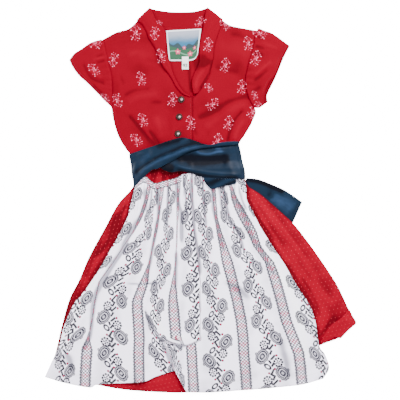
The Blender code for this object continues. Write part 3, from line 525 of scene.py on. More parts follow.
def outline_of(spots):
    """The closed outline of a grid of points."""
    return np.vstack([spots[0], spots[1:, -1], spots[-1, -2::-1], spots[-2:0:-1, 0]])


def beyond(outline, across, up):
    """How far each point lies outside an outline; inside it the distance is negative."""
    nearest = np.full(across.shape, 1e9)
    inside = np.zeros(across.shape, bool)
    for start, end in zip(outline, np.roll(outline, -1, axis=0)):
        along = end - start
        length = max(along @ along, 1e-9)
        part = np.clip(((across - start[0]) * along[0] + (up - start[1]) * along[1]) / length, 0, 1)
        away = np.hypot(across - start[0] - part * along[0], up - start[1] - part * along[1])
        nearest = np.minimum(nearest, away)
        if start[1] != end[1]:
            crosses = (start[1] > up) != (end[1] > up)
            inside ^= crosses & (across < start[0] + (up - start[1]) * along[0] / along[1])
    return np.where(inside, -nearest, nearest)


def draped(outline, across, up, ramp=HANG_RAMP):
    """1 over a piece and just round it, falling softly to 0 a ramp further out."""
    return 1 - ease((beyond(outline, across, up) - HANG_CLEAR) / ramp)


def straight(start, end):
    """A straight edge between two points."""
    return np.array([start, end], float)


def band(top_rows, low_rows, columns, rows, end_rows=None):
    """A grid between the upper and lower edges of a band."""
    top, low = edge(top_rows), edge(low_rows)
    end = edge(end_rows) if end_rows else straight(top[-1], low[-1])
    return panel(top, low, straight(top[0], low[0]), end, steps(columns), steps(rows))


def lines_of(rows, across, up, taper=9.0):
    """Sum of the soft ridges and troughs along given paths, each fading out at its two ends."""
    total = np.zeros(across.shape)
    for row in rows:
        path = smooth_line([Point(*spot) for spot in row.path])
        reach = 2.6 * row.width
        low, high = path.min(axis=0) - reach, path.max(axis=0) + reach
        near = (across > low[0]) & (across < high[0]) & (up > low[1]) & (up < high[1])
        if not near.any():
            continue
        x, y = across[near], up[near]
        closest, travelled, passed = np.full(x.shape, 1e9), np.zeros(x.shape), 0.0
        for start, end in zip(path, path[1:]):
            along = end - start
            length = math.hypot(*along)
            part = np.clip(((x - start[0]) * along[0] + (y - start[1]) * along[1]) / length ** 2, 0, 1)
            away = np.hypot(x - start[0] - part * along[0], y - start[1] - part * along[1])
            nearer = away < closest
            closest = np.where(nearer, away, closest)
            travelled = np.where(nearer, passed + part * length, travelled)
            passed += length
        ends = ease(travelled / taper + 0.15) * ease((passed - travelled) / taper + 0.15)
        total[near] += row.height * np.exp(-(closest / row.width) ** 2) * ends
    return total


def crumple(across, up, size, seed):
    """Soft unevenness of cloth that has been worn and washed, between about -1 and 1."""
    draws = np.random.default_rng(seed)
    total = np.zeros(np.shape(across))
    for _ in range(CRUMPLE_WAVES):
        direction = draws.uniform(0, math.pi)
        phase = draws.uniform(0, 6.28)
        stretch = draws.uniform(0.6, 1.7)
        run = across * math.cos(direction) + up * math.sin(direction)
        sway = 0.8 * np.sin(run * 0.7 * 6.28 / size)
        total = total + np.sin(run * stretch * 2 * math.pi / size + phase + sway)
    return total / CRUMPLE_RANGE


Point = namedtuple("Point", "across up")

# Grids of the pieces, as points across and up
SHOULDERS = edge(SHOULDER_RIGHT, NECK_BACK, SHOULDER_LEFT)
OUTER_RIGHT = edge(ARMHOLE_RIGHT, SIDE_RIGHT)
OUTER_LEFT = edge(ARMHOLE_LEFT, SIDE_LEFT)
FRONT_GRID = steps(56), steps(104)
FRONT_RIGHT = inset(panel(
    edge(SHOULDER_RIGHT), edge(WAIST_RIGHT), OUTER_RIGHT, edge(NECK_RIGHT, OVERLAP_EDGE), *FRONT_GRID))
FRONT_LEFT = inset(panel(
    edge(SHOULDER_LEFT), edge(WAIST_LEFT), edge(NECK_LEFT, UNDERLAP_EDGE), OUTER_LEFT, *FRONT_GRID))
BACK = inset(panel(SHOULDERS, edge(WAIST), OUTER_RIGHT, OUTER_LEFT, steps(84), steps(76)))
SKIRT_EDGES = edge(WAIST), edge(SKIRT_HEM), edge(SKIRT_RIGHT), edge(SKIRT_LEFT)
SKIRT = inset(panel(*SKIRT_EDGES, steps(190), steps(120, 1.15)))
SKIRT_BEHIND = inset(panel(*SKIRT_EDGES, steps(72), steps(60, 1.15)))
APRON = panel(
    edge(APRON_TOP), edge(APRON_HEM, APRON_HEM_NOTCH, APRON_HEM_LEFT), edge(APRON_RIGHT), edge(APRON_LEFT),
    steps(230), steps(165, 1.08))
SASH_BACK = band(SASH_BACK_TOP, SASH_BACK_LOW, 60, 16)
SASH_TAIL = band(TAIL_TOP, TAIL_LOW, 48, 26)
SASH_LOWER = band(LOWER_TOP, LOWER_LOW, 90, 52, LOWER_END)
SASH_UPPER = band(UPPER_TOP, UPPER_LOW, 120, 46)
SASH_FLAP = band(FLAP_TOP, FLAP_LOW, 36, 14)
LABEL = band(LABEL_TOP, LABEL_LOW, 40, 34)
SIZE_TAG = band(TAG_TOP, TAG_LOW, 12, 20)
TURNUP = panel(
    straight((219, -164.5), (221, -162.5)), straight((182.5, -211.5), (183.5, -214.5)), edge(TURNUP_INNER),
    edge(TURNUP_OUTER), steps(20), steps(50))

BODY_OUTLINE = np.vstack([
    spaced(edge(ARMHOLE_RIGHT, SIDE_RIGHT, SKIRT_RIGHT), steps(60)), spaced(edge(SKIRT_HEM), steps(24)),
    spaced(edge(ARMHOLE_LEFT, SIDE_LEFT, SKIRT_LEFT), steps(60))[::-1], spaced(SHOULDERS, steps(24))[::-1]])


def coarse(spots, rows=3, columns=3):
    """A coarser grid of the same piece, whose outline is quicker to measure to."""
    return spots[::rows, ::columns]


def depth_in(across, up):
    """0 at the dress's outline, rising softly to 1 some way inside it."""
    return ease(-beyond(BODY_OUTLINE, across, up) / EDGE_EASE)


def back_floor(across, up):
    """Underside of the dress's back, raised over the sash that lies behind it."""
    over_band = draped(outline_of(coarse(SASH_BACK, 4, 5)), across, up, LIFT_RAMP)
    over_tail = draped(outline_of(coarse(SASH_TAIL, 13, 6)), across, up, LIFT_RAMP)
    return SASH_LIFT * np.maximum(over_band, over_tail)


def front_floor(across, up):
    """Underside of the left front, which lies on the back."""
    eased = BODICE_EASE + lines_of(FRONT_FOLDS, across, up) + 0.22 * crumple(across, up, 34, 3)
    return back_floor(across, up) + WALL_RISE + SEAM_GAP + np.maximum(eased, 0) * depth_in(across, up)


def overlap_floor(across, up):
    """Underside of the right front, raised where it laps over the left one."""
    lap = outline_of(coarse(FRONT_LEFT, 4, 7))
    return front_floor(across, up) + (WALL_RISE + LAYER_GAP) * draped(lap, across, up)


def skirt_fullness(across, up):
    """The most that the skirt's folds rise, at each point."""
    down = np.hypot(across - FAN_CENTRE[0], up - FAN_CENTRE[1]) - FAN_WAIST
    part = np.clip(down / SKIRT_LENGTH, 0, 1)
    return SKIRT_GATHER_HEIGHT + (SKIRT_WAVE_HEIGHT - SKIRT_GATHER_HEIGHT) * ease(part * 2)


def skirt_folds(across, up):
    """Gathers at the waist that run out into fewer, broader waves."""
    angle = np.arctan2(across - FAN_CENTRE[0], FAN_CENTRE[1] - up)
    turn = (angle - FAN_START) / (FAN_END - FAN_START)
    down = np.hypot(across - FAN_CENTRE[0], up - FAN_CENTRE[1]) - FAN_WAIST
    part = np.clip(down / SKIRT_LENGTH, 0, 1)
    uneven = turn + SKIRT_UNEVEN * np.sin(2 * math.pi * 3 * turn)
    gathers = 0.5 + 0.5 * np.cos(2 * math.pi * SKIRT_GATHERS * uneven)
    waves = 0.5 + 0.5 * np.sin(2 * math.pi * SKIRT_WAVES * uneven + 0.8 * part)
    fine = 1 - ease(part * 2.2)
    ripple = 0.12 * np.sin(2 * math.pi * SKIRT_RIPPLES * uneven + 3 * part) * (1 - 0.6 * part)
    placed = lines_of(SKIRT_CREASES, across, up) / SKIRT_WAVE_HEIGHT
    share = fine * gathers + (1 - fine) * waves + ripple + placed + 0.06 * crumple(across, up, 30, 5)
    return skirt_fullness(across, up) * np.clip(share, 0, 1.15)


def skirt_floor(across, up):
    """Underside of the skirt's front."""
    return back_floor(across, up) + WALL_RISE + SEAM_GAP + skirt_folds(across, up) * depth_in(across, up)


def skirt_top(across, up):
    """Height that clears the skirt everywhere."""
    walls = back_floor(across, up) + 2 * WALL_RISE + SEAM_GAP
    return walls + skirt_fullness(across, up) * depth_in(across, up)


def apron_floor(across, up):
    """What the apron lies on: the skirt, and beyond its edge the surface below."""
    outside = (beyond(BODY_OUTLINE, across, up) - APRON_HANG_CLEAR) / HANG_RAMP
    return (skirt_top(across, up) + LAYER_GAP) * (1 - ease(outside))


def apron_folds(spots):
    """How far the apron's gathers and folds rise, as a part of its fullness."""
    across_part, down_part = parts_of(spots)
    across, up = across_up(spots)
    placed = lines_of(APRON_FOLDS, across, up, 16)
    fine = 0.16 * np.cos(2 * math.pi * (APRON_GATHERS * across_part + 0.8 * np.sin(9 * across_part)))
    waves = 0.13 * np.sin(2 * math.pi * (APRON_WAVES * across_part + 0.4 * down_part) + 0.6)
    gathered = 1 - ease(down_part * 3.4)
    uneven = 0.07 * crumple(across, up, 26, 8)
    share = APRON_REST + placed + fine * gathered + waves * (1 - gathered) + uneven
    return np.clip(share, 0, 1.3)


def sash_floor(across, up):
    """What the sash lies on at the waist, down to the sash behind at both sides."""
    down = ease((SASH_STEP_TOP - up) / SASH_STEP_LENGTH)
    at_edge = SASH_EDGE_LEVEL + SASH_EDGE_STEP * down
    inside = SASH_INNER_LEVEL + SASH_INNER_STEP * down
    stack = at_edge + (inside - at_edge) * depth_in(across, up)
    outside = (beyond(BODY_OUTLINE, across, up) - HANG_CLEAR) / SASH_HANG_RAMP
    floor = WALL_RISE + SEAM_GAP
    return floor + (stack - floor) * (1 - ease(outside))


def across_up(spots):
    """The across and up values of a grid of points."""
    return spots[..., 0], spots[..., 1]


def parts_of(spots):
    """How far across and down its panel each point of a grid is, from 0 to 1."""
    rows, columns = spots.shape[:2]
    return np.meshgrid(steps(columns - 1), steps(rows - 1))


class Value:
    """A number or vector that varies over a surface, with ordinary arithmetic on numbers."""

    def __init__(self, recipe, socket):
        self.recipe = recipe
        self.socket = socket

    def maths(self, operation, first, second=0.0):
        return self.recipe.node("ShaderNodeMath", {0: first, 1: second}, operation=operation)

    def __add__(self, other):
        return self.maths("ADD", self, other)

    def __sub__(self, other):
        return self.maths("SUBTRACT", self, other)

    def __rsub__(self, other):
        return self.maths("SUBTRACT", other, self)

    def __mul__(self, other):
        return self.maths("MULTIPLY", self, other)

    def __truediv__(self, other):
        return self.maths("DIVIDE", self, other)

    def __abs__(self):
        return self.maths("ABSOLUTE", self)

    __radd__ = __add__
    __rmul__ = __mul__

    def part(self):
        """What is left after the whole numbers are taken off."""
        return self.maths("FRACT", self)

    def wave(self):
        return self.maths("SINE", self)

    def over(self, other):
        return self.maths("MAXIMUM", self, other)

    def under(self, other):
        return self.maths("MINIMUM", self, other)

    def above(self, limit):
        """1 where the number is above the limit, and 0 elsewhere."""
        return self.maths("GREATER_THAN", self, limit)


class Recipe:
    """A material under construction."""

    def __init__(self, name, roughness, metallic=0.0, **constants):
        self.material = bpy.data.materials.new(name)
        self.material.use_nodes = True
        self.tree = self.material.node_tree
        self.shader = self.tree.nodes["Principled BSDF"]
        self.set("Roughness", roughness)
        self.set("Metallic", metallic)
        for socket, value in constants.items():
            self.set(socket.replace("_", " "), value)

    def feed(self, socket, value):
        if isinstance(value, Value):
            self.tree.links.new(value.socket, socket)
        elif socket.type == "RGBA" and len(value) == 3:
            socket.default_value = (*value, 1.0)
        else:
            socket.default_value = value

    def set(self, socket, value):
        self.feed(self.shader.inputs[socket], value)

    def node(self, kind, inputs, output=0, **settings):
        made = self.tree.nodes.new(kind)
        for name, value in settings.items():
            setattr(made, name, value)
        for key, value in inputs.items():
            self.feed(made.inputs[key], value)
        return Value(self, made.outputs[output])

    def place(self):
        """Where a point of the surface is, in metres."""
        return self.node("ShaderNodeTexCoord", {}, output="Object")

    def chart(self, name):
        """Where a point lies on the flat cloth of one of its maps."""
        return self.node("ShaderNodeUVMap", {}, uv_map=name)

    def attribute(self, name):
        return self.node("ShaderNodeAttribute", {}, output="Fac", attribute_name=name)

    def axes(self, vector):
        split = self.tree.nodes.new("ShaderNodeSeparateXYZ")
        self.feed(split.inputs[0], vector)
        return Value(self, split.outputs[0]), Value(self, split.outputs[1])

    def joined(self, x, y):
        return self.node("ShaderNodeCombineXYZ", {0: x, 1: y})

    def mix(self, share, first, second):
        """first where the share is 0 and second where it is 1, for colours."""
        return self.node("ShaderNodeMix", {0: share, 6: first, 7: second}, output=2, data_type="RGBA")

    def fade(self, value, none, full):
        """0 where the value is at none, 1 where it is at full, and soft in between."""
        return self.node(
            "ShaderNodeMapRange", {0: value, 1: none, 2: full}, interpolation_type="SMOOTHSTEP")

    def span(self, vector, spot=(0, 0)):
        """Distance from a vector to a fixed spot."""
        return self.node(
            "ShaderNodeVectorMath", {0: vector, 1: (spot[0], spot[1], 0)}, output=1, operation="DISTANCE")

    def turned(self, vector, spot, size, degrees=0.0):
        """The vector as seen from a spot, in units of the given half sizes, after a turn."""
        return self.node(
            "ShaderNodeMapping",
            {"Vector": vector, "Location": (spot[0], spot[1], 0), "Rotation": (0, 0, math.radians(degrees)),
             "Scale": (size[0], size[1], 1)}, vector_type="TEXTURE")

    def blot(self, vector, spot, size, degrees=0.0, soft=0.25):
        """A printed oval with pointed or round ends, 1 inside it."""
        return self.fade(self.span(self.turned(vector, spot, size, degrees)), 1 + soft, 1 - soft)

    def stroke(self, vector, spot, size, degrees, soft):
        """A printed stroke with square ends, 1 inside it."""
        x, y = self.axes(self.turned(vector, spot, size, degrees))
        return self.fade(abs(x) - size[1] / size[0] * soft, 1.0, 1 - 2 * soft * size[1] / size[0]).under(
            self.fade(abs(y), 1 + soft, 1 - soft))

    def noise(self, vector, scale, detail=2.0, roughness=0.5):
        return self.node(
            "ShaderNodeTexNoise",
            {"Vector": vector, "Scale": scale, "Detail": detail, "Roughness": roughness})

    def bump(self, height, strength, distance):
        self.set("Normal", self.node(
            "ShaderNodeBump", {"Height": height, "Strength": strength, "Distance": distance}, output=0))

    def weave(self, pitch):
        """Threads over and under each other, from 0 to 1."""
        x, y = self.axes(self.place())
        return 0.5 + 0.25 * ((x * (2 * math.pi / pitch)).wave() + (y * (2 * math.pi / pitch)).wave())

    def painted_shading(self, tone, dark, middle, light):
        """Painted shade and light: from a shaded copy in the folds to a lit copy on their crests."""
        lower = self.mix(self.fade(tone, -1.0, 0.0), dark, middle)
        return self.mix(self.fade(tone, 0.0, 1.0), lower, light)


def seen(red, green, blue):
    """The cloth colour that sends this much light to the camera under the studio lamps."""
    return tuple(min(part / light, 0.93) for part, light in zip((red, green, blue), STUDIO_LIGHT))


def cotton_finish(recipe, colour, pitch=0.00042, depth=0.00005):
    """Cotton's fine weave, its slubs and its unevenness of colour."""
    slubs = recipe.noise(recipe.place(), 900.0, 3.0)
    cloudy = recipe.noise(recipe.place(), 28.0, 3.0)
    woven = recipe.weave(pitch)
    shade = 0.05 * (slubs - 0.5) + 0.07 * (cloudy - 0.5) + 0.03 * (woven - 0.5)
    tinted = recipe.node("ShaderNodeHueSaturation", {"Value": 1.0 + shade, "Color": colour})
    recipe.set("Base Color", tinted)
    recipe.set("Roughness", 0.74 + 0.16 * slubs)
    recipe.bump(woven + 0.8 * slubs, 0.35, depth)


# Red with a darker copy for painted shade and a lighter copy for painted light
RED_PAINTED_SHADE = seen(0.27, 0.008, 0.018)
RED = seen(0.51, 0.0035, 0.027)
RED_PAINTED_LIGHT = seen(0.63, 0.005, 0.036)
SPRIG_PINK = seen(1.7, 0.2, 0.42)
SPRIG_PALE = seen(3.0, 0.8, 1.2)
# The skirt's red with copies for painted shade and painted light, and its dots' pink
DOTTED_PAINTED_SHADE = seen(0.29, 0.009, 0.02)
DOTTED_RED = seen(0.7, 0.003, 0.036)
DOTTED_PAINTED_LIGHT = seen(0.86, 0.004, 0.044)
DOT_PINK = seen(1.6, 0.13, 0.2)

# The skirt's dots: their pitch in metres, and the turn of their rows in degrees
DOT_PITCH = 0.0062
DOT_TURN = 12

# One sprig: its buds and petals, in millimetres from its middle
SPRIG_BUDS = table(
    "x y long wide turn pale", (0, 0, 1.5, 0.8, 20, 0), (1.6, 1.6, 1.2, 0.6, 50, 1),
    (-1.5, 1.5, 1.1, 0.6, 130, 0), (1.6, -1.5, 1.1, 0.55, -35, 1), (-1.7, -1.3, 1.2, 0.55, 210, 0),
    (0.2, 3.0, 1.1, 0.55, 80, 0), (-2.8, 8.6, 0.75, 0.6, 0, 1), (-0.8, 9.8, 0.65, 0.6, 0, 1),
    (-1.4, 6.8, 0.85, 0.5, 60, 0), (3.6, 6.4, 0.75, 0.6, 20, 0), (5.3, 4.6, 0.7, 0.55, 0, 1),
    (2.0, 8.2, 0.6, 0.55, 0, 0), (-5.2, 3.6, 0.75, 0.6, 0, 1), (-4.4, 5.6, 0.65, 0.5, 0, 0),
    (5.8, -0.4, 1.1, 0.4, 15, 0), (-5.0, -3.4, 0.7, 0.6, 0, 0), (-3.0, -5.2, 0.8, 0.6, 30, 1),
    (-4.4, -7.2, 0.7, 0.6, 0, 1), (2.4, -5.6, 0.85, 0.6, 0, 0), (4.4, -6.2, 0.7, 0.55, 0, 1),
    (2.6, -8.6, 0.65, 0.55, 0, 0), (-0.4, -7.4, 1.0, 0.4, 80, 0), (4.4, -3.2, 0.9, 0.4, -40, 0),
    (0.4, 5.2, 2.8, 0.22, 100, 0), (2.6, 3.9, 2.8, 0.2, 50, 0), (-3.0, 2.8, 2.5, 0.2, 145, 0),
    (0.5, -4.2, 2.8, 0.22, -72, 0), (-2.4, -3.4, 2.4, 0.2, 230, 0), (3.8, -1.0, 2.6, 0.2, -8, 0))


def red_cotton(name, printed=True):
    """Red cotton, with the sprigs of the dress's print or without them."""
    recipe = Recipe(name, 0.8, Specular_IOR_Level=0.0)
    # Painted shade in the folds and painted light on their crests, over the red
    colour = recipe.painted_shading(recipe.attribute("fold"), RED_PAINTED_SHADE, RED, RED_PAINTED_LIGHT)
    if printed:
        spot = recipe.chart("sprig")
        pink, pale = 0.0, 0.0
        for bud in SPRIG_BUDS:
            mark = recipe.blot(spot, (bud.x, bud.y), (bud.long, bud.wide), bud.turn, 0.35)
            if bud.pale:
                pale = mark.over(pale)
            else:
                pink = mark.over(pink)
        colour = recipe.mix(0.8 * pink, colour, SPRIG_PINK)
        colour = recipe.mix(0.8 * pale, colour, SPRIG_PALE)
    cotton_finish(recipe, colour)
    return recipe.material


def dotted_cotton():
    """The skirt's red cotton with its tiny staggered dots."""
    recipe = Recipe("red_dotted_cotton", 0.8, Specular_IOR_Level=0.0)
    x, y = recipe.axes(recipe.turned(recipe.place(), (0, 0), (DOT_PITCH, DOT_PITCH), DOT_TURN))
    row = y.maths("FLOOR", y)
    shifted = x + 0.5 * row.maths("MODULO", row, 2.0)
    cell = recipe.joined(shifted.part() - 0.5, y.part() - 0.5)
    dot = recipe.fade(recipe.span(cell), 0.11, 0.055)
    # Painted shade in the folds and painted light on their crests
    colour = recipe.painted_shading(recipe.attribute("fold"), DOTTED_PAINTED_SHADE, DOTTED_RED, DOTTED_PAINTED_LIGHT)
    cotton_finish(recipe, recipe.mix(0.75 * dot, colour, DOT_PINK))
    return recipe.material


INK = seen(0.11, 0.105, 0.13)
GREY = seen(0.055, 0.055, 0.08)
PINK = seen(0.78, 0.035, 0.15)
DEEP_PINK = seen(0.66, 0.035, 0.15)
# White with a darker copy for painted shade and a lighter copy for painted light
WHITE_PAINTED_SHADE = seen(1.05, 1.0, 1.25)
WHITE = seen(3.5, 3.32, 4.1)
WHITE_PAINTED_LIGHT = seen(3.7, 3.6, 4.2)

# Length of one repeat of the garland, and how far down it its first flower starts
REPEAT = 54.0
HALF_REPEAT = 0.5 * REPEAT
FLOWER_START = 6.0

# Print that covers half a spot of white cloth looks half dark only when it covers more in light
PRINT_STRENGTH = 3.2

# The printed garland over one repeat, from the middle of a left flower: place, half length and width, turn
TWIGS = table(
    "x y long wide turn", (1.6, 2.5, 4.9, 1.5, -43), (-0.2, -5.3, 3.7, 1.5, -57),
    (-2.8, -11.8, 3.0, 1.5, 42), (2.4, -13.7, 4.8, 1.5, -43), (0.9, -20.7, 4.1, 1.5, -63),
    (-1.9, -25.3, 3.0, 1.5, 36), (-0.6, -30.0, 4.4, 1.5, -61), (0.5, -41.0, 3.5, 1.5, -54),
    (-4.5, -47.0, 4.9, 1.5, 61))
SPECKS = table("x y size", (7.5, -0.5, 1.35), (9.0, -15.3, 1.35), (-6.3, -28.0, 1.3), (2.8, -34.3, 1.3))


def rosette(recipe, spot):
    """A carnation drawn in nested arcs that are darkest at its two ends, as how dark it looks."""
    from_middle = recipe.turned(spot, (-14.0, 0.0), (12.4, 9.2), -52)
    x, y = recipe.axes(from_middle)
    turn = x.maths("ARCTAN2", y, x)
    away = recipe.span(from_middle) + 0.022 * (4 * turn + 0.7).wave() + 0.03 * (11 * turn).wave()
    ends = abs(x) / (recipe.span(from_middle) + 0.05)
    ink = 0.6 * recipe.fade(away, 1.08, 0.92)
    for radius, width, dark in ((0.9, 0.15, 0.75), (0.65, 0.21, 1.0), (0.34, 0.19, 0.95)):
        ink = ink.over(recipe.fade(abs(away - radius), width, 0.2 * width) * dark * (0.45 + 0.55 * ends))
    for radius, width, pale in ((0.8, 0.09, 0.5), (0.5, 0.1, 0.75), (0.05, 0.2, 0.6)):
        ink = ink * (1 - pale * recipe.fade(abs(away - radius), width, 0.3 * width))
    bobble = recipe.span(spot, (-22.4, -4.6))
    return ink.over(recipe.fade(abs(bobble - 1.4), 1.2, 0.5) * 0.5)


def dot_ring(recipe, spot, place):
    """A ring of nine seeds round a starry middle."""
    from_middle = recipe.turned(spot, place, (1, 1))
    x, y = recipe.axes(from_middle)
    turn = x.maths("ARCTAN2", y, x)
    away = recipe.span(from_middle)
    round_ring = ((turn * (9 / (2 * math.pi))).part() - 0.5) * 4.1
    seeds = recipe.fade(recipe.span(recipe.joined(round_ring, away - 5.8)), 2.1, 1.3)
    star = recipe.fade(away, 3.9, 2.9) * recipe.fade((4 * turn).wave(), -0.8, 0.2)
    return (0.97 * seeds).over(0.85 * star)


def lattice(recipe, beside, along):
    """A printed band: two beaded ropes with a net between them that is pink and grey by turns.

    beside is the distance from the band's middle and along the distance down it. The result is how dark
    its grey and pink look, and where the band covers the cloth.
    """
    outward = abs(beside)
    away = abs(outward - 6.7 - 0.5 * (along * (2 * math.pi / 5.2)).wave())
    beads = 0.5 + 0.5 * (along * (2 * math.pi / 2.6)).wave()
    rope = recipe.fade(away, 2.2, 0.8) * (0.42 + 0.42 * beads)
    within = recipe.fade(outward, 6.2, 4.6)
    rising = recipe.fade(abs(((beside + along) / 5.0).part() - 0.5), 0.26, 0.08)
    falling = recipe.fade(abs(((beside - along) / 5.0).part() - 0.5), 0.26, 0.08)
    net = (rising.over(falling) * 0.56).over(rising * falling * 0.9)
    middle = abs((along / 13.8).part() - 0.5) * 13.8 + 0.5 * outward
    pink_part = recipe.fade(middle, 5.2, 3.4)
    grey = rope.over(within * net * (1 - 0.75 * pink_part))
    return grey, within * pink_part * (0.06 + net), recipe.fade(outward, 9.4, 8.6)


def apron_cotton():
    """White cotton printed with flower garlands between lattice bands."""
    recipe = Recipe("white_print_cotton", 0.8, Specular_IOR_Level=0.15)
    across, down = recipe.axes(recipe.chart("cut"))
    repeats = across / BAND_PITCH
    beside = repeats.part() * BAND_PITCH - BAND_PITCH / 2

    # Every other garland stands on its head, and the right flowers lie half a repeat below the left ones
    upright = 1 - 2 * repeats.maths("FLOOR", repeats).maths("MODULO", repeats.maths("FLOOR", repeats), 2.0)
    below = upright * down
    along = ((REPEAT - FLOWER_START - below) / REPEAT).part() * REPEAT - REPEAT + FLOWER_START
    tile = recipe.joined(beside, along)
    glide = ((HALF_REPEAT * beside.above(0.0) + HALF_REPEAT - below) / REPEAT).part() * REPEAT - HALF_REPEAT
    mirrored = recipe.joined(-1.0 * abs(beside), glide)
    grey = rosette(recipe, mirrored)
    ink = dot_ring(recipe, mirrored, (-8.8, -17.0))
    for twig in TWIGS:
        ink = recipe.stroke(tile, (twig.x, twig.y), (twig.long, twig.wide), twig.turn, 0.35).over(ink)
    loop = recipe.span(recipe.turned(tile, (-7.6, -38.3), (6.2, 3.5), 40))
    ink = ink.over(recipe.fade(loop, 1.15, 0.95) * recipe.fade(loop, 0.4, 0.65))
    pink = 0.0
    for speck in SPECKS:
        pink = recipe.fade(recipe.span(tile, (speck.x, speck.y)), speck.size + 0.7, speck.size).over(pink)

    # The bands down the cloth, and the one that edges its top
    band_beside = ((repeats + 0.5).part() - 0.5) * BAND_PITCH
    rope_grey, rope_pink, covered = lattice(recipe, band_beside, down)
    edge_along, edge_down = recipe.axes(recipe.chart("edge"))
    edging = recipe.fade(edge_along, 100.0, 96.0) * recipe.fade(edge_down, 10.0, 9.2)
    edge_grey, edge_pink, _ = lattice(recipe, 1.5 * (edge_down - 4.6), edge_along)
    rope_grey = rope_grey * covered * (1 - edging) + 0.9 * edge_grey * edging
    rope_pink = rope_pink * covered * (1 - edging) + 0.7 * edge_pink * edging
    garland = (1 - covered) * (1 - edging)

    # Painted shade in the folds and painted light on their crests, over the white
    cloth = recipe.painted_shading(recipe.attribute("fold"), WHITE_PAINTED_SHADE, WHITE, WHITE_PAINTED_LIGHT)
    squeeze = recipe.attribute("squeeze")
    for darkness, colour, spread in (
            (grey * garland, GREY, 0.0), (0.97 * ink * garland, INK, 1.0),
            (0.97 * pink * garland, DEEP_PINK, 3.0), (rope_grey, GREY, 0.4), (rope_pink, PINK, 1.0)):
        cover = 1 - (1 - darkness).maths("POWER", 1 - darkness, PRINT_STRENGTH + spread * squeeze)
        cloth = recipe.mix(cover, cloth, colour)
    cotton_finish(recipe, cloth)
    return recipe.material


def satin_finish():
    """Dark blue satin: fine lengthwise threads, a soft shine, painted shade and light, and painted sheen."""
    recipe = Recipe("blue_satin", 0.4, Specular_IOR_Level=0.05)
    tone = recipe.attribute("fold")
    cut = recipe.chart("cut")
    streaks = recipe.noise(recipe.turned(cut, (0, 0), (30, 1.3)), 1.0, 4.0, 0.6)
    patches = recipe.noise(recipe.turned(cut, (0, 0), (26, 13)), 1.0, 3.0, 0.65)
    # Painted shade and light of the folds, with patches and streaks of painted sheen
    shade_and_sheen = tone + 0.9 * (patches - 0.5) + 0.35 * (streaks - 0.5)
    # Shaded, middle and lit copies of the blue
    colour = recipe.painted_shading(
        shade_and_sheen, seen(0.003, 0.005, 0.013), seen(0.012, 0.036, 0.076), seen(0.055, 0.12, 0.26))
    recipe.set("Base Color", colour)
    recipe.set("Roughness", 0.34 + 0.16 * streaks)
    recipe.bump(streaks + 0.4 * recipe.weave(0.00035), 0.3, 0.00006)
    return recipe.material


def metal_finish():
    """Aged metal, dark in its hollows, worn bright on its relief and with a painted highlight on its dome."""
    recipe = Recipe("aged_metal", 0.4, metallic=0.95)
    grain = recipe.noise(recipe.place(), 1500.0, 4.0)
    # Worn relief and rim and the dome's painted highlight are lighter; the hollows keep dark patina
    worn = recipe.fade(recipe.attribute("fold") + 0.3 * (grain - 0.5), 0.25, 0.75)
    recipe.set("Base Color", recipe.mix(worn, (0.05, 0.03, 0.024), (0.42, 0.38, 0.35)))
    recipe.set("Roughness", 0.52 - 0.14 * worn + 0.1 * grain)
    recipe.bump(grain, 0.25, 0.00004)
    return recipe.material


# Flowers on the label, as parts of its width and height
LABEL_FLOWERS = table(
    "x y size", (0.3, 0.3, 0.09), (0.68, 0.22, 0.085), (0.82, 0.38, 0.06), (0.5, 0.42, 0.06))


def label_finish():
    """A woven label: sky and clouds over green hills, with a few pink flowers, inside a pale border."""
    recipe = Recipe("woven_label", 0.65, Specular_IOR_Level=0.1)
    flat = recipe.chart("cut")
    x, y = recipe.axes(flat)
    wavy = recipe.noise(recipe.turned(flat, (0, 0), (0.22, 0.1)), 1.0, 3.0)
    sky = recipe.mix(recipe.fade(y + 0.12 * wavy, 0.98, 0.6), seen(0.9, 0.95, 1.15), seen(0.01, 0.3, 0.62))
    ridge = 0.52 + 0.05 * (x * 9.0).wave() + 0.05 * (x * 21.0 + 1.0).wave()
    far = recipe.mix(recipe.fade(y - ridge, 0.02, -0.02), sky, seen(0.012, 0.08, 0.1))
    slope = 0.44 + 0.06 * (x * 5.0 + 2.0).wave()
    near = recipe.mix(recipe.fade(y - slope, 0.02, -0.02), far, seen(0.012, 0.19, 0.07))
    path = 0.26 + 0.07 * (x * 7.0 + 0.4).wave()
    near = recipe.mix(recipe.fade(abs(y - path), 0.03, 0.01) * 0.7, near, seen(0.35, 0.9, 0.55))
    for flower in LABEL_FLOWERS:
        petals = recipe.turned(flat, (flower.x, flower.y), (flower.size, flower.size * 1.1))
        px, py = recipe.axes(petals)
        rim = 0.8 + 0.2 * (5 * px.maths("ARCTAN2", py, px)).wave()
        near = recipe.mix(recipe.fade(recipe.span(petals) - rim, 0.1, -0.1), near, seen(1.5, 0.08, 0.35))
        near = recipe.mix(recipe.fade(recipe.span(petals), 0.32, 0.22), near, seen(2.2, 1.3, 0.9))
    inside = abs(x - 0.5).over(abs(y - 0.5))
    colour = recipe.mix(recipe.fade(inside, 0.45, 0.465), near, seen(2.4, 2.4, 2.6))
    threads = recipe.weave(0.0004)
    recipe.set("Base Color", recipe.mix(0.05 * threads, colour, seen(2.6, 2.6, 2.6)))
    recipe.bump(threads, 0.35, 0.00006)
    return recipe.material


def plain_cotton(name, colour, roughness=0.7):
    """Plain tape or thread."""
    recipe = Recipe(name, roughness, Specular_IOR_Level=0.3)
    twist = recipe.noise(recipe.place(), 2200.0, 2.0)
    recipe.set("Base Color", recipe.mix(0.25 * twist, colour, tuple(0.6 * part for part in colour)))
    recipe.bump(twist, 0.3, 0.00005)
    return recipe.material


def deselect():
    bpy.ops.object.select_all(action="DESELECT")


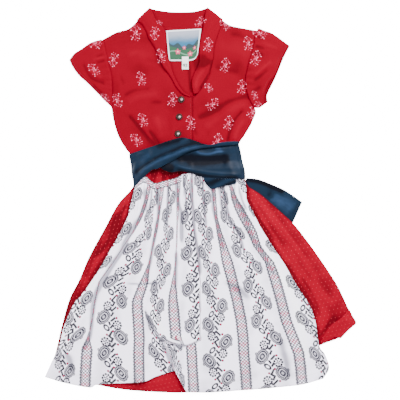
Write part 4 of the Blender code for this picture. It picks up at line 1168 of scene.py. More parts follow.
def grid(name, points):
    """A sheet of faces through a grid of points, in millimetres."""
    rows, columns = points.shape[:2]
    deselect()
    bpy.ops.mesh.primitive_grid_add(x_subdivisions=columns - 1, y_subdivisions=rows - 1, size=2)
    piece = bpy.context.object
    piece.name = name
    flat = np.zeros(rows * columns * 3)
    piece.data.vertices.foreach_get("co", flat)
    flat = flat.reshape(-1, 3)
    column = np.rint((flat[:, 0] + 1) / 2 * (columns - 1)).astype(int)
    row = np.rint((1 - flat[:, 1]) / 2 * (rows - 1)).astype(int)
    piece.data.vertices.foreach_set("co", (points[row, column] * MM).ravel())
    return piece, row, column


def add_values(piece, name, values):
    """A number at each vertex, for the materials."""
    numbers = piece.data.attributes.new(name, "FLOAT", "POINT")
    numbers.data.foreach_set("value", values.astype(np.float32))


def add_chart(piece, name, values):
    """A map of the flat cloth, from a value pair at each vertex."""
    chart = piece.data.uv_layers.get(name) or piece.data.uv_layers.new(name=name)
    corners = np.zeros(len(piece.data.loops), int)
    piece.data.loops.foreach_get("vertex_index", corners)
    chart.data.foreach_set("uv", values[corners].astype(np.float32).ravel())


def add_sprigs(piece):
    """A map that places each face round its nearest sprig, in millimetres from the sprig's middle."""
    mesh = piece.data
    centres = np.zeros(len(mesh.polygons) * 3)
    mesh.polygons.foreach_get("center", centres)
    centres = centres.reshape(-1, 3)[:, :2] / MM
    spots = np.array([(row.across, row.up) for row in SPRIGS], float)
    nearest = np.argmin(((centres[:, None] - spots[None]) ** 2).sum(axis=2), axis=1)
    counts = np.zeros(len(mesh.polygons), int)
    mesh.polygons.foreach_get("loop_total", counts)
    owner = np.repeat(nearest, counts)
    corners = np.zeros(len(mesh.loops), int)
    mesh.loops.foreach_get("vertex_index", corners)
    places = np.zeros(len(mesh.vertices) * 3)
    mesh.vertices.foreach_get("co", places)
    away = places.reshape(-1, 3)[corners, :2] / MM - spots[owner]
    turns = np.radians([row.turn for row in SPRIGS])[owner]
    sizes = np.array([row.size for row in SPRIGS])[owner, None]
    turned = np.column_stack([
        away[:, 0] * np.cos(turns) + away[:, 1] * np.sin(turns),
        away[:, 1] * np.cos(turns) - away[:, 0] * np.sin(turns)]) / sizes
    chart = mesh.uv_layers.new(name="sprig")
    chart.data.foreach_set("uv", turned.astype(np.float32).ravel())


def cloth(name, points, material, tone=None, chart=None, side=1.0, closed=False, wall=WALL, more=None):
    """A sheet of cloth through a grid of points, with its wall on the given side.

    tone is the painted shade and light at each point, from -1 to 1, and chart where it lies on the
    flat cloth; more holds further maps and point values by their names.
    """
    piece, row, column = grid(name, points)
    values = np.zeros(points.shape[:2]) if tone is None else tone
    # The painted shade and light go to the materials as the point values named fold
    add_values(piece, "fold", values[row, column])
    lengths = np.dstack(np.meshgrid(steps(points.shape[1] - 1), steps(points.shape[0] - 1)))
    add_chart(piece, "cut", (lengths if chart is None else chart)[row, column])
    for kind, known in (more or {}).items():
        (add_chart if known.ndim == 3 else add_values)(piece, kind, known[row, column])
    if closed:
        bpy.ops.object.mode_set(mode="EDIT")
        bpy.ops.mesh.select_all(action="SELECT")
        bpy.ops.mesh.remove_doubles(threshold=0.00001)
        bpy.ops.mesh.normals_make_consistent(inside=False)
        bpy.ops.object.mode_set(mode="OBJECT")
    solid = piece.modifiers.new("wall", "SOLIDIFY")
    solid.thickness = wall * MM
    solid.offset = side
    bpy.ops.object.modifier_apply(modifier="wall")
    add_sprigs(piece)
    piece.data.materials.append(material)
    bpy.ops.object.shade_smooth()
    surfaces[name] = points + np.array([0, 0, wall if side > 0 else 0])
    return piece


def lying(name, spots, heights, material, tone=None, chart=None, more=None):
    """A sheet whose underside lies at the given heights."""
    return cloth(name, np.dstack([spots, heights]), material, tone, chart, more=more)


def lengths_of(spots):
    """The cut's own measures at each point: millimetres across it and down it."""
    down = np.hypot(*np.diff(spots, axis=0).transpose(2, 0, 1))
    down = np.vstack([np.zeros((1, spots.shape[1])), np.cumsum(down, axis=0)])
    across = np.hypot(*np.diff(spots, axis=1).transpose(2, 0, 1))
    across = np.hstack([np.zeros((spots.shape[0], 1)), np.cumsum(across, axis=1)])
    return np.dstack([across, down])


def print_across(line, hidden, rows, repeats):
    """How far across the print each point of one row of the apron lies.

    rows and repeats say where the known lines cross the row; spare cloth lies hidden between the points.
    """
    across, up = line.T
    levels = [row.up for row in rows]
    width_levels = [row.up for row in SHOWN_WIDTHS]
    places, prints = [], []
    for known in repeats:
        middles = [getattr(row, known.name) for row in rows]
        level = np.interp(np.interp(up.mean(), levels, middles), across, up)
        place = np.interp(level, levels, middles)
        half = np.interp(level, width_levels, [getattr(row, known.name) for row in SHOWN_WIDTHS])
        places += [place - half, place + half]
        prints += [known.low * BAND_PITCH, known.high * BAND_PITCH]
    places = np.array([places[0] - MARGIN_SHOWN] + places + [places[-1] + MARGIN_SHOWN])
    prints = np.array([prints[0] - MARGIN_PRINT] + prints + [prints[-1] + MARGIN_PRINT])
    hides = 1 + FOLD_HIDES * hidden
    taken = np.concatenate([[0], np.cumsum(np.diff(across) * (hides[1:] + hides[:-1]) / 2)])
    taken_at = np.interp(places, across, taken)
    taken_at += np.minimum(places - across[0], 0) + np.maximum(places - across[-1], 0)
    gaps = np.diff(places)
    scales = np.minimum(np.diff(prints) / gaps, 1.0)
    spare = (np.diff(prints) - gaps * scales) / np.diff(taken_at)
    start = np.clip(np.searchsorted(places, across) - 1, 0, len(gaps) - 1)
    past_place = (across - places[start]) * scales[start]
    past_fold = (taken - taken_at[start]) * spare[start]
    return prints[start] + past_place + past_fold


def apron_chart(spots, share):
    """Where each point of the apron lies on its print, with more cloth hidden in each trough."""
    hidden = np.clip(APRON_REST - share, 0, 1)
    padded = np.pad(hidden, ((HIDDEN_RUN, HIDDEN_RUN), (0, 0)), mode="edge")
    hidden = np.mean([padded[start:start + len(hidden)] for start in range(2 * HIDDEN_RUN + 1)], axis=0)
    from_hem = spots[..., 1] - np.interp(spots[..., 0], *edge(PRINT_HEM).T)
    middle_across, middle_up = edge(FOLDED_MIDDLE).T
    chart = np.dstack([from_hem, HEM_TO_FLOWER - from_hem])
    for index, line in enumerate(spots):
        across, up = line.T
        below = (across > middle_across[0]) & (across < middle_across[-1]) & (
            up < np.interp(across, middle_across, middle_up))
        chart[index, :, 0] = print_across(line, hidden[index], APRON_BANDS, BAND_REPEATS)
        if below.any() or up.mean() < PLEAT_LEVEL:
            lower = print_across(line, hidden[index], PLEAT_BANDS, PLEAT_REPEATS)
            below |= up < np.interp(across, middle_across, middle_up) - 2
            chart[index, :, 0] = np.where(below, lower, chart[index, :, 0])
            dropped = below & (across < PLEAT_END) & (across > middle_across[0])
            chart[index, :, 1] += np.where(dropped, PLEAT_DROP, 0)
    squeeze = np.gradient(chart[..., 0], axis=1) / np.gradient(spots[..., 0], axis=1) - 1
    return chart, np.clip(squeeze, 0, SQUEEZE_LIMIT)


def collar_stretch(free_rows, seam_rows, count, level, reach=1.0):
    """Sections of the collar between its free edge and the neck seam, all at one level."""
    free = spaced(edge(free_rows), steps(count))
    seam = spaced(edge(seam_rows), reach * steps(count))
    inward = free - seam
    seam = seam + inward / np.hypot(*inward.T)[:, None] * COLLAR_SEAM_INSET
    return [(free_point, seam_point, level) for free_point, seam_point in zip(free, seam)]


def collar_fold(section, outward, low, high, turn):
    """Sections round a fold at the side of the neck, down from the front level or up to it."""
    free, seam, _ = section
    radius = (high - low) / 2
    sections = []
    for step in range(1, COLLAR_FOLD_STEPS):
        angle = math.pi * step / COLLAR_FOLD_STEPS
        push = np.array(outward) * radius * math.sin(angle)
        sections.append((free + push, seam + push, low + radius + turn * radius * math.cos(angle)))
    return sections


def collar():
    """The standing collar: up the right neck edge, round the back, and down the left neck edge."""
    low, high = COLLAR_BACK_LEVEL, COLLAR_FRONT_LEVEL
    right = collar_stretch(COLLAR_RIGHT, NECK_RIGHT, COLLAR_FRONT_ROWS, high, COLLAR_REACH)[::-1]
    back = collar_stretch(COLLAR_BACK, NECK_BACK, COLLAR_BACK_ROWS, low)
    left = collar_stretch(COLLAR_LEFT, NECK_LEFT, COLLAR_FRONT_ROWS, high, COLLAR_REACH)
    sections = right + collar_fold(right[-1], COLLAR_FOLD_RIGHT, low, high, 1) + back
    sections += collar_fold(back[-1], COLLAR_FOLD_LEFT, low, high, -1) + left
    across = steps(COLLAR_COLUMNS - 1)[:, None]
    points = np.array([
        np.hstack([free * (1 - across) + seam * across, np.full((COLLAR_COLUMNS, 1), level)])
        for free, seam, level in sections])
    raised = points[..., 2] > (low + high) / 2
    roll = np.where(raised, 0.9 * np.sin(math.pi * across.T) ** 2 + 0.5 * (1 - across.T), 0.0)
    points[..., 2] += roll
    count = len(right)
    for stretch, floor in ((points[:count], overlap_floor), (points[-count:], front_floor)):
        inward = stretch[:, -2, :2] - stretch[:, -1, :2]
        stretch[:, -1, :2] -= inward / np.hypot(*inward.T)[:, None] * (COLLAR_SEAM_INSET + SEAM_LAP)
        rest = floor(*across_up(stretch)) + WALL + COLLAR_CLEAR
        near_seam = ease(3 * across.T - 1.6)
        stretch[..., 2] += np.maximum(rest - stretch[..., 2], 0) * near_seam
    # Painted shade and light on the front stretches, and painted shade round the back
    tone = lines_of(NECK_TONES, *across_up(points)) * raised
    tone += np.where(raised, 0.25 * np.sin(math.pi * across.T), -0.25)
    return cloth("collar_band", points, red_print, tone, side=0.0, wall=COLLAR_WALL)


def sleeve_layer(armhole, top, hem, underarm, seam_gap):
    """One layer of a flattened sleeve, drawn in at its folds.

    Its top lies seam_gap off the armhole, or laps over it where seam_gap is negative.
    """
    columns, rows = steps(SLEEVE_COLUMNS), steps(SLEEVE_ROWS)
    spots = inset(
        panel(edge(armhole), edge(hem), edge(top), edge(underarm), columns, rows), SLEEVE_EDGE_INSET)
    seam = spaced(edge(armhole), columns)[1:-1]
    along = np.gradient(seam, axis=0)
    away = np.column_stack([-along[:, 1], along[:, 0]]) / np.hypot(*along.T)[:, None]
    away *= np.sign((away * (spots[1, 1:-1] - seam)).sum(axis=1))[:, None]
    spots[0, 1:-1] = seam + away * seam_gap
    for index, stop in ((0, 1), (-1, -2)):
        inward = spots[:, stop] - spots[:, index]
        spots[:, index] += inward / np.hypot(*inward.T)[:, None] * SLEEVE_FOLD_INSET
    return spots


def sleeve(name, armhole, top, front_hem, back_hem, front_underarm, back_underarm):
    """A flattened sleeve: a tube whose front and back layers are joined by two folds."""
    front = sleeve_layer(armhole, top, front_hem, front_underarm, -SLEEVE_LAP)
    back = sleeve_layer(armhole, top, back_hem, back_underarm, SLEEVE_SEAM_INSET)
    down, along = parts_of(front)
    arch = np.sin(math.pi * down)
    gathers = 0.5 + 0.5 * np.cos(2 * math.pi * (SLEEVE_GATHERS * down + 0.5 * np.sin(7 * down)))
    at_head = 1 - ease(along * 1.8)
    ruffle = 0.7 * gathers * at_head
    placed = lines_of(SLEEVE_FOLDS, *across_up(front), 5)
    uneven = 0.2 * crumple(*across_up(front), 22, 4)
    rise = SLEEVE_EASE * (1 - 0.5 * along) + ruffle + placed + uneven
    level = SLEEVE_FRONT_LEVEL + LAYER_GAP + arch ** 0.5 * np.maximum(rise, 0)
    clear_of_front = 2 * WALL_RISE + SEAM_GAP + SLEEVE_WALL
    level[:2, 1:-1] = np.maximum(level[:2, 1:-1], clear_of_front)
    bottom = np.zeros(level.shape)
    front_columns = list(np.dstack([front, level]).transpose(1, 0, 2))
    back_columns = list(np.dstack([back, bottom]).transpose(1, 0, 2))
    underarm_fold = fold_columns(front[:, -1], back[:, -1], front[:, -1] - front[:, -2], level[:, -1], 1)
    top_fold = fold_columns(front[:, 0], back[:, 0], front[:, 0] - front[:, 1], level[:, 0], -1)
    ring = front_columns + underarm_fold + back_columns[::-1] + top_fold + front_columns[:1]
    points = np.stack(ring, axis=1)
    # Painted shade and light over the front layer's folds and gathers; the back layer is painted in shade
    tone = np.zeros(points.shape[:2])
    tone[:, :front.shape[1]] = 0.7 * placed + 0.4 * (gathers - 0.7) * at_head
    tone[:, :front.shape[1]] += 0.35 * crumple(*across_up(front), 50, 7)
    tone[:, front.shape[1] + 3:-4] = -0.6
    piece = cloth(name, points, red_print, tone, side=-1.0, closed=True, wall=SLEEVE_WALL)
    surfaces[name] = np.dstack([front, level])
    return piece


def fold_columns(front_line, back_line, outward, level, turn):
    """Points round the fold between a sleeve's two layers, from the front down or from the back up."""
    outward = outward / np.hypot(outward[:, 0], outward[:, 1])[:, None]
    columns = []
    for degrees in SLEEVE_FOLD_DEGREES:
        angle = math.radians(degrees * turn)
        share = 0.5 - 0.5 * math.sin(angle)
        spot = front_line * (1 - share) + back_line * share + outward * SLEEVE_FOLD * math.cos(angle)
        columns.append(np.column_stack([spot, level / 2 * (1 + math.sin(angle))]))
    return columns


def button(name, row, height):
    """A domed metal button with a raised rim and a flower in relief, turned from a circle."""
    deselect()
    middle = row.across * MM, row.up * MM, height * MM
    bpy.ops.mesh.primitive_circle_add(
        vertices=BUTTON_SIDES, radius=BUTTON_FOOT * MM, fill_type="NGON", location=middle)
    piece = bpy.context.object
    piece.name = name
    bpy.ops.object.mode_set(mode="EDIT")
    bpy.ops.mesh.select_all(action="SELECT")
    for wide, rise in BUTTON_PROFILE:
        bpy.ops.mesh.extrude_region_move(TRANSFORM_OT_translate={"value": (0, 0, rise * MM)})
        bpy.ops.transform.resize(value=(wide, wide, 1), center_override=middle)
    bpy.ops.mesh.poke()
    bpy.ops.mesh.select_all(action="SELECT")
    bpy.ops.mesh.normals_make_consistent(inside=False)
    bpy.ops.object.mode_set(mode="OBJECT")
    bpy.ops.object.transform_apply(location=True, rotation=True, scale=True)
    places = np.array([vertex.co for vertex in piece.data.vertices]) / MM
    x, y = places[:, 0] - row.across, places[:, 1] - row.up
    away, turn = np.hypot(x, y), np.arctan2(y, x)
    top = places[:, 2] > height + BUTTON_DOME_LEVEL
    petals = np.maximum(0, np.cos(4 * turn)) * np.exp(-((away - BUTTON_PETALS) / 0.9) ** 2)
    heart = np.exp(-(away / 0.8) ** 2)
    relief = np.where(top, 0.16 * petals + 0.12 * heart, 0)
    places[:, 2] += relief
    piece.data.vertices.foreach_set("co", (places * MM).ravel())
    on_rim = places[:, 2] > height + BUTTON_RIM_LEVEL
    rim = np.exp(-((away - BUTTON_RIM) / 0.35) ** 2) * on_rim
    # Painted highlight on the dome, off its middle towards the lower right
    dome = 0.7 * np.exp(-(np.hypot(x - 0.7, y + 0.6) / 2.0) ** 2)
    add_values(piece, "fold", np.clip(1.2 * relief + 0.3 * rim + dome, 0, 1))
    smooth = piece.modifiers.new("smooth", "SUBSURF")
    smooth.levels = smooth.render_levels = 1
    bpy.ops.object.modifier_apply(modifier="smooth")
    bpy.ops.object.shade_smooth()
    piece.data.materials.append(metal)
    return piece


def red_painted_shading(rows, spots, amount=0.8):
    """Painted shade and light along the bodice's placed folds, with broad and small unevenness."""
    thinner = [row._replace(width=0.75 * row.width) for row in rows]
    uneven = 0.5 * crumple(*across_up(spots), 75, 2) + 0.1 * crumple(*across_up(spots), 26, 6)
    return amount * lines_of(thinner, *across_up(spots)) + uneven - 0.08


def shaded_sides(spots, wide=2.2, dark=0.9):
    """Painted shade close to the two sides, where the cloth turns away from the light."""
    across = lengths_of(spots)[..., 0]
    nearest = np.minimum(across, across[:, -1:] - across)
    return -dark * (1 - ease(nearest / wide))


def band_sides(spots):
    """0 along the edges of a band of the sash, rising softly to 1 inside it."""
    across_part, down_part = parts_of(spots)
    lengthwise = ease(down_part * 7) * ease((1 - down_part) * 9)
    return lengthwise * ease(across_part * 10) * ease((1 - across_part) * 10)


def one_stitch():
    """The corners and faces of one stitch, 1 long and 1 wide, lying along the across axis."""
    deselect()
    bpy.ops.mesh.primitive_uv_sphere_add(segments=8, ring_count=6, radius=0.5)
    piece = bpy.context.object
    corners = np.array([vertex.co for vertex in piece.data.vertices])[:, [2, 0, 1]]
    faces = [tuple(face.vertices) for face in piece.data.polygons]
    bpy.data.objects.remove(piece, do_unlink=True)
    return corners, faces


def sample(surface, row_part, column_part):
    """Points of a surface at the given parts of its length and width."""
    rows, columns = surface.shape[:2]
    row = np.clip(np.asarray(row_part) * (rows - 1), 0, rows - 1.001)
    column = np.clip(np.asarray(column_part) * (columns - 1), 0, columns - 1.001)
    low_row, low_column = row.astype(int), column.astype(int)
    by_row, by_column = (row - low_row)[:, None], (column - low_column)[:, None]
    upper, lower = (
        surface[level, low_column] * (1 - by_column) + surface[level, low_column + 1] * by_column
        for level in (low_row, low_row + 1))
    return upper * (1 - by_row) + lower * by_row


def edge_line(surface, side, inside, start=0.0, end=1.0):
    """A dense line on a surface, a fixed distance inside one of its edges."""
    rows, columns = surface.shape[:2]
    along = np.linspace(start, end, 400)
    if side in ("left", "right"):
        fixed, run = (np.s_[:, -1], np.s_[:, 0]) if side == "left" else (np.s_[:, 0], np.s_[:, -1])
        width = np.hypot(*(surface[run] - surface[fixed])[:, :2].T)
        part = inside / np.interp(along, np.linspace(0, 1, rows), width)
        return sample(surface, along, 1 - part if side == "left" else part)
    fixed, run = (np.s_[-1], np.s_[0]) if side == "low" else (np.s_[0], np.s_[-1])
    length = np.hypot(*(surface[run] - surface[fixed])[:, :2].T)
    part = inside / np.interp(along, np.linspace(0, 1, columns), length)
    return sample(surface, 1 - part if side == "low" else part, along)


def sew(name, lines, material, long=2.3, gap=0.9, thick=0.34):
    """Rows of stitches along lines on the cloth."""
    corners, faces = one_stitch()
    all_corners, all_faces = [], []
    for line in lines:
        lengths = np.concatenate([[0], np.cumsum(np.linalg.norm(np.diff(line, axis=0), axis=1))])
        starts = np.arange(0.5, lengths[-1] - long, long + gap)
        for start in starts:
            ends = np.array([
                np.interp((start, start + long), lengths, line[:, axis]) for axis in range(3)]).T
            along = (ends[1] - ends[0]) / np.linalg.norm(ends[1] - ends[0])
            beside = np.cross((0, 0, 1), along)
            beside /= np.linalg.norm(beside)
            above = np.cross(along, beside)
            turned = (
                corners[:, :1] * along * long + corners[:, 1:2] * beside * thick
                + corners[:, 2:] * above * thick)
            base = len(all_corners) * len(corners)
            all_corners.append(turned + ends.mean(axis=0) + above * STITCH_LIFT)
            all_faces += [tuple(base + corner for corner in face) for face in faces]
    mesh = bpy.data.meshes.new(name)
    mesh.from_pydata((np.vstack(all_corners) * MM).tolist(), [], all_faces)
    mesh.materials.append(material)
    piece = bpy.data.objects.new(name, mesh)
    bpy.context.scene.collection.objects.link(piece)
    for face in mesh.polygons:
        face.use_smooth = True
    return piece


surfaces = {}

red_print = red_cotton("red_print_cotton")
red_plain = red_cotton("red_plain_cotton", printed=False)
red_dots = dotted_cotton()
white_print = apron_cotton()
satin = satin_finish()
metal = metal_finish()
label_cloth = label_finish()
tag_cloth = plain_cotton("white_tape", seen(2.6, 2.6, 2.5))
red_thread = plain_cotton("red_thread", seen(0.45, 0.01, 0.03))
white_thread = plain_cotton("white_thread", seen(2.4, 2.4, 2.5))
blue_thread = plain_cotton("blue_thread", seen(0.02, 0.04, 0.08))
grey_ink = plain_cotton("grey_ink", seen(0.05, 0.06, 0.06))

# Bodice
# The back's painted shade and light inside the neck, which also raise and lower its cloth there
back_tone = lines_of(NECK_TONES, *across_up(BACK))
back_rise = np.maximum(0.35 + 0.3 * back_tone, 0) * depth_in(*across_up(BACK))
back = lying("back_panel", BACK, back_floor(*across_up(BACK)) + back_rise, red_plain, back_tone + 0.1)
left = lying(
    "left_front", FRONT_LEFT, front_floor(*across_up(FRONT_LEFT)), red_print,
    red_painted_shading(FRONT_FOLDS, FRONT_LEFT) + shaded_sides(FRONT_LEFT))
right = lying(
    "right_front", FRONT_RIGHT, overlap_floor(*across_up(FRONT_RIGHT)), red_print,
    red_painted_shading(FRONT_FOLDS, FRONT_RIGHT) + shaded_sides(FRONT_RIGHT))
right_sleeve = sleeve(
    "right_sleeve", ARMHOLE_RIGHT, SLEEVE_TOP_RIGHT, SLEEVE_HEM_RIGHT, SLEEVE_HEM_RIGHT, UNDERARM_RIGHT,
    UNDERARM_RIGHT)
left_sleeve = sleeve(
    "left_sleeve", ARMHOLE_LEFT, SLEEVE_TOP_LEFT, SLEEVE_FRONT_HEM_LEFT, SLEEVE_HEM_LEFT,
    UNDERARM_FRONT_LEFT, UNDERARM_LEFT)
collar_band = collar()

# Labels
label_height = np.full(LABEL.shape[:2], LABEL_LEVEL) + 0.2 * np.sin(3.1 * parts_of(LABEL)[0])
label_chart = np.dstack(parts_of(LABEL))
label_chart[..., 1] = 1 - label_chart[..., 1]
label = lying("woven_label", LABEL, label_height, label_cloth, chart=label_chart)
over_label = draped(outline_of(coarse(LABEL)), *across_up(SIZE_TAG), ramp=8.0)
tag_rise = LABEL_LEVEL + (WALL_RISE + SEAM_GAP) * over_label
tag = lying("tag", SIZE_TAG, tag_rise, tag_cloth)

neck_line = spaced(edge(NECK_BACK), steps(60))
neck_side = np.gradient(neck_line, axis=0)
neck_side = np.column_stack([-neck_side[:, 1], neck_side[:, 0]]) / np.hypot(*neck_side.T)[:, None]
tape_spots = neck_line[None] + np.linspace(*TAPE_EDGES, 5)[:, None, None] * neck_side[None]
tape_points = np.dstack([tape_spots, np.full(tape_spots.shape[:2], TAPE_LEVEL)])
neck_tape = cloth("neck_tape", tape_points, red_plain, wall=TAPE_WALL)

# Skirt
skirt_behind = lying("skirt_behind", SKIRT_BEHIND, back_floor(*across_up(SKIRT_BEHIND)), red_dots)
skirt_rise = skirt_folds(*across_up(SKIRT)) / skirt_fullness(*across_up(SKIRT))
apron_shade = lines_of(APRON_SHADOWS, *across_up(SKIRT))
# Painted shade and light: the skirt's folds, the apron's shadows and the listed places
skirt_tone = 0.9 * (skirt_rise - 0.62) + apron_shade + lines_of(SKIRT_TONES, *across_up(SKIRT))
skirt = lying(
    "skirt_panel", SKIRT, skirt_floor(*across_up(SKIRT)), red_dots,
    skirt_tone + shaded_sides(SKIRT) + 0.2 * crumple(*across_up(SKIRT), 34, 5))
lift = TURNUP_LIFT * (1 - ease(2 * parts_of(TURNUP)[0]))
# Painted light at the turned-up hem's upper corner, darkening towards its lower end
turnup = lying(
    "turned_up_hem", TURNUP, skirt_top(*across_up(TURNUP)) + 2 * LAYER_GAP + lift, red_dots,
    0.3 - 0.5 * parts_of(TURNUP)[1])

# Apron
apron_share = apron_folds(APRON)
apron_parts = parts_of(APRON)
apron_sides = ease(apron_parts[0] * 12) * ease((1 - apron_parts[0]) * 12)
print_chart, print_squeeze = apron_chart(APRON, apron_share)
apron_height = APRON_FULLNESS * (1 - 0.45 * ease(apron_parts[1] * 1.2)) * apron_sides * apron_share
edging_chart = np.dstack([APRON[..., 0] + EDGING_START, lengths_of(APRON)[..., 1]])
# Painted shade in the apron's troughs and painted light on its crests
apron = lying(
    "apron_panel", APRON, apron_floor(*across_up(APRON)) + apron_height, white_print,
    np.clip(1.7 * (apron_share - 0.85), -1, 1), print_chart,
    more={"edge": edging_chart, "squeeze": print_squeeze})

# Sash
sash_behind = lying(
    "band_behind", SASH_BACK, np.zeros(SASH_BACK.shape[:2]), satin, chart=lengths_of(SASH_BACK))
tail = lying(
    "tail", SASH_TAIL, np.zeros(SASH_TAIL.shape[:2]), satin, lines_of(TAIL_TONES, *across_up(SASH_TAIL)),
    lengths_of(SASH_TAIL))
lower_folds = np.clip(0.7 + lines_of(LOWER_FOLDS, *across_up(SASH_LOWER)), 0, LOWER_BAND_HEIGHT)
lower_rise = lower_folds * band_sides(SASH_LOWER)
# Painted shade and light from its table, a little darker overall
lower = lying(
    "lower_band", SASH_LOWER, sash_floor(*across_up(SASH_LOWER)) + lower_rise, satin,
    np.clip(lines_of(LOWER_TONES, *across_up(SASH_LOWER)) - 0.25, -1, 1), lengths_of(SASH_LOWER))
lower_outline = outline_of(coarse(SASH_LOWER, 4, 6))
over_lower = (WALL_RISE + LOWER_BAND_HEIGHT + LAYER_GAP) * draped(lower_outline, *across_up(SASH_UPPER))
upper_folds = np.clip(1.0 + lines_of(BAND_FOLDS, *across_up(SASH_UPPER)), 0, UPPER_BAND_HEIGHT)
upper_rise = upper_folds * band_sides(SASH_UPPER)
upper = lying(
    "upper_band", SASH_UPPER, sash_floor(*across_up(SASH_UPPER)) + over_lower + upper_rise, satin,
    np.clip(lines_of(BAND_TONES, *across_up(SASH_UPPER)), -1, 1), lengths_of(SASH_UPPER))
# Painted light and shade in diagonal stripes, darker overall
flap = lying(
    "flap", SASH_FLAP, sash_floor(*across_up(SASH_FLAP)), satin,
    0.5 * np.sin(9 * parts_of(SASH_FLAP)[0] + 5 * parts_of(SASH_FLAP)[1]) - 0.3, lengths_of(SASH_FLAP))

# Buttons
buttons = []
for place, row in enumerate(BUTTONS, start=1):
    turns = np.linspace(0, 2 * math.pi, 25)
    ring = row.across + BUTTON_SEAT * np.cos(turns), row.up + BUTTON_SEAT * np.sin(turns)
    seat = float(overlap_floor(*ring).max()) + WALL + BUTTON_GAP
    buttons.append(button(f"domed_button_{place}", row, seat))

# Sewing
right_front_seam = sew(
    "right_front_stitches", [edge_line(surfaces["right_front"], "left", FRONT_STITCH, 0.6, 0.99)], red_thread)
sleeve_seams = sew("sleeve_stitches", [
    edge_line(surfaces["right_sleeve"], "low", SLEEVE_STITCH, 0.04, 0.96),
    edge_line(surfaces["left_sleeve"], "low", SLEEVE_STITCH, 0.04, 0.96)], red_thread)
apron_seams = sew("apron_stitches", [
    edge_line(surfaces["apron_panel"], "low", APRON_HEM_STITCH, 0.02, 0.98),
    edge_line(surfaces["apron_panel"], "left", APRON_SIDE_STITCH, 0.03, 0.97),
    edge_line(surfaces["apron_panel"], "right", APRON_SIDE_STITCH, 0.03, 0.97)], white_thread)
sash_seams = sew(
    "sash_stitches", [edge_line(surfaces["tail"], "left", TAIL_STITCH, 0.04, 0.96)], blue_thread)
label_seams = sew("label_stitches", [
    edge_line(surfaces["woven_label"], "high", LABEL_STITCH, 0.03, 0.97),
    edge_line(surfaces["woven_label"], "left", LABEL_STITCH, 0.03, 0.6),
    edge_line(surfaces["woven_label"], "right", LABEL_STITCH, 0.03, 0.97)], white_thread, 1.6, 0.7, 0.26)

deselect()
bpy.ops.object.text_add()
number = bpy.context.object
number.data.body = "92"
number.data.size = NUMBER_HEIGHT * MM
number.data.align_x, number.data.align_y = "CENTER", "CENTER"
number.data.extrude = NUMBER_INK * MM
bpy.ops.object.convert(target="MESH")
number.name = "size_number"
number_level = float(tag_rise.max()) + WALL + NUMBER_INK
number.location = (NUMBER_ACROSS * MM, NUMBER_UP * MM, number_level * MM)
bpy.ops.object.transform_apply(location=True, rotation=True, scale=True)
number.data.materials.append(grey_ink)

DRESSED = (
    (back, "red_print_cotton", ("bodice_back",)), (left, "red_print_cotton", ("bodice_front_left",)),
    (right, "red_print_cotton", ("bodice_front_right",)),
    (right_sleeve, "red_print_cotton", ("sleeve_right",)),
    (left_sleeve, "red_print_cotton", ("sleeve_left",)),
    (collar_band, "red_print_cotton", ("collar",)), (neck_tape, "red_print_cotton", ()),
    (label, "woven_label", ("neck_label",)), (tag, "white_tape", ("size_tag",)),
    (skirt_behind, "red_dotted_cotton", ("skirt_back",)), (skirt, "red_dotted_cotton", ("skirt_front",)),
    (turnup, "red_dotted_cotton", ("skirt_hem_turnup",)), (apron, "white_print_cotton", ("apron",)),
    (sash_behind, "blue_satin", ("sash_back",)), (tail, "blue_satin", ("sash_tail",)),
    (lower, "blue_satin", ("sash_front_lower",)), (upper, "blue_satin", ("sash_front_upper",)),
    (flap, "blue_satin", ("sash_flap",)), (buttons[0], "aged_metal", ("button_1",)),
    (buttons[1], "aged_metal", ("button_2",)), (buttons[2], "aged_metal", ("button_3",)),
    (right_front_seam, "red_print_cotton", ()), (sleeve_seams, "red_print_cotton", ()),
    (apron_seams, "white_print_cotton", ()), (sash_seams, "blue_satin", ()),
    (label_seams, "woven_label", ()), (number, "white_tape", ()))
for piece, slot, nodes in DRESSED:
    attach(piece, "root")
    if nodes:
        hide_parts(*nodes)

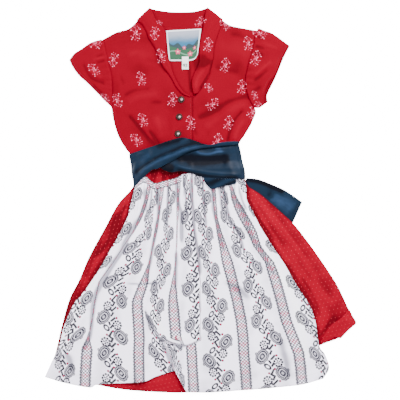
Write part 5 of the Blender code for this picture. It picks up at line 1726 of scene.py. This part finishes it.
# Floor, light and camera
FLOOR_SIZE = 6
FLOOR_LEVEL = -0.0002
PAPER_ROUGHNESS = 0.9
PAPER_WHITE = (0.9, 0.9, 0.9, 1)
PAPER_GLOW = 13
SKY_STRENGTH = 0.57
deselect()
bpy.ops.mesh.primitive_plane_add(size=FLOOR_SIZE, location=(0, 0, FLOOR_LEVEL))
floor = bpy.context.object
floor.name = "floor"
paper = bpy.data.materials.new("paper")
paper.use_nodes = True
paper_look = paper.node_tree.nodes["Principled BSDF"].inputs
paper_look["Base Color"].default_value = PAPER_WHITE
paper_look["Roughness"].default_value = PAPER_ROUGHNESS
paper_look["Emission Color"].default_value = (1, 1, 1, 1)
paper_look["Emission Strength"].default_value = PAPER_GLOW
floor.data.materials.append(paper)

# Soft lamps above the floor: power in watts, size and place in metres
LIGHT_TINT = (0.985, 0.97, 1.06, 1)
LAMPS = table(
    "name power size x y z", ("key", 115, 0.9, 0.7, 1.0, 1.3), ("side", 39, 1.2, -1.2, 0.3, 1.2),
    ("low", 23, 1.2, 0.1, -1.3, 1.2))
for row in LAMPS:
    lamp = bpy.data.lights.new(row.name, "AREA")
    lamp.energy = row.power
    lamp.shape = "DISK"
    lamp.color = LIGHT_TINT[:3]
    lamp.size = row.size
    light = bpy.data.objects.new(row.name, lamp)
    bpy.context.scene.collection.objects.link(light)
    light.location = (row.x, row.y, row.z)
    light.rotation_euler = (-light.location).to_track_quat("-Z", "Y").to_euler()
world = bpy.data.worlds.new("studio")
world.use_nodes = True
world.node_tree.nodes["Background"].inputs["Color"].default_value = LIGHT_TINT
world.node_tree.nodes["Background"].inputs["Strength"].default_value = SKY_STRENGTH
bpy.context.scene.world = world

# The camera looks straight down; the photo's middle lies a fraction of a millimetre off the dress's
LENS, FILM, VIEW_WIDTH = 85.0, 36.0, 0.6
PHOTO_MIDDLE = (-0.00045, 0.000375)
eye = bpy.data.cameras.new("camera")
eye.lens = LENS
eye.sensor_width = FILM
camera = bpy.data.objects.new("camera", eye)
bpy.context.scene.collection.objects.link(camera)
camera.location = (*PHOTO_MIDDLE, VIEW_WIDTH * LENS / FILM)
bpy.context.scene.camera = camera
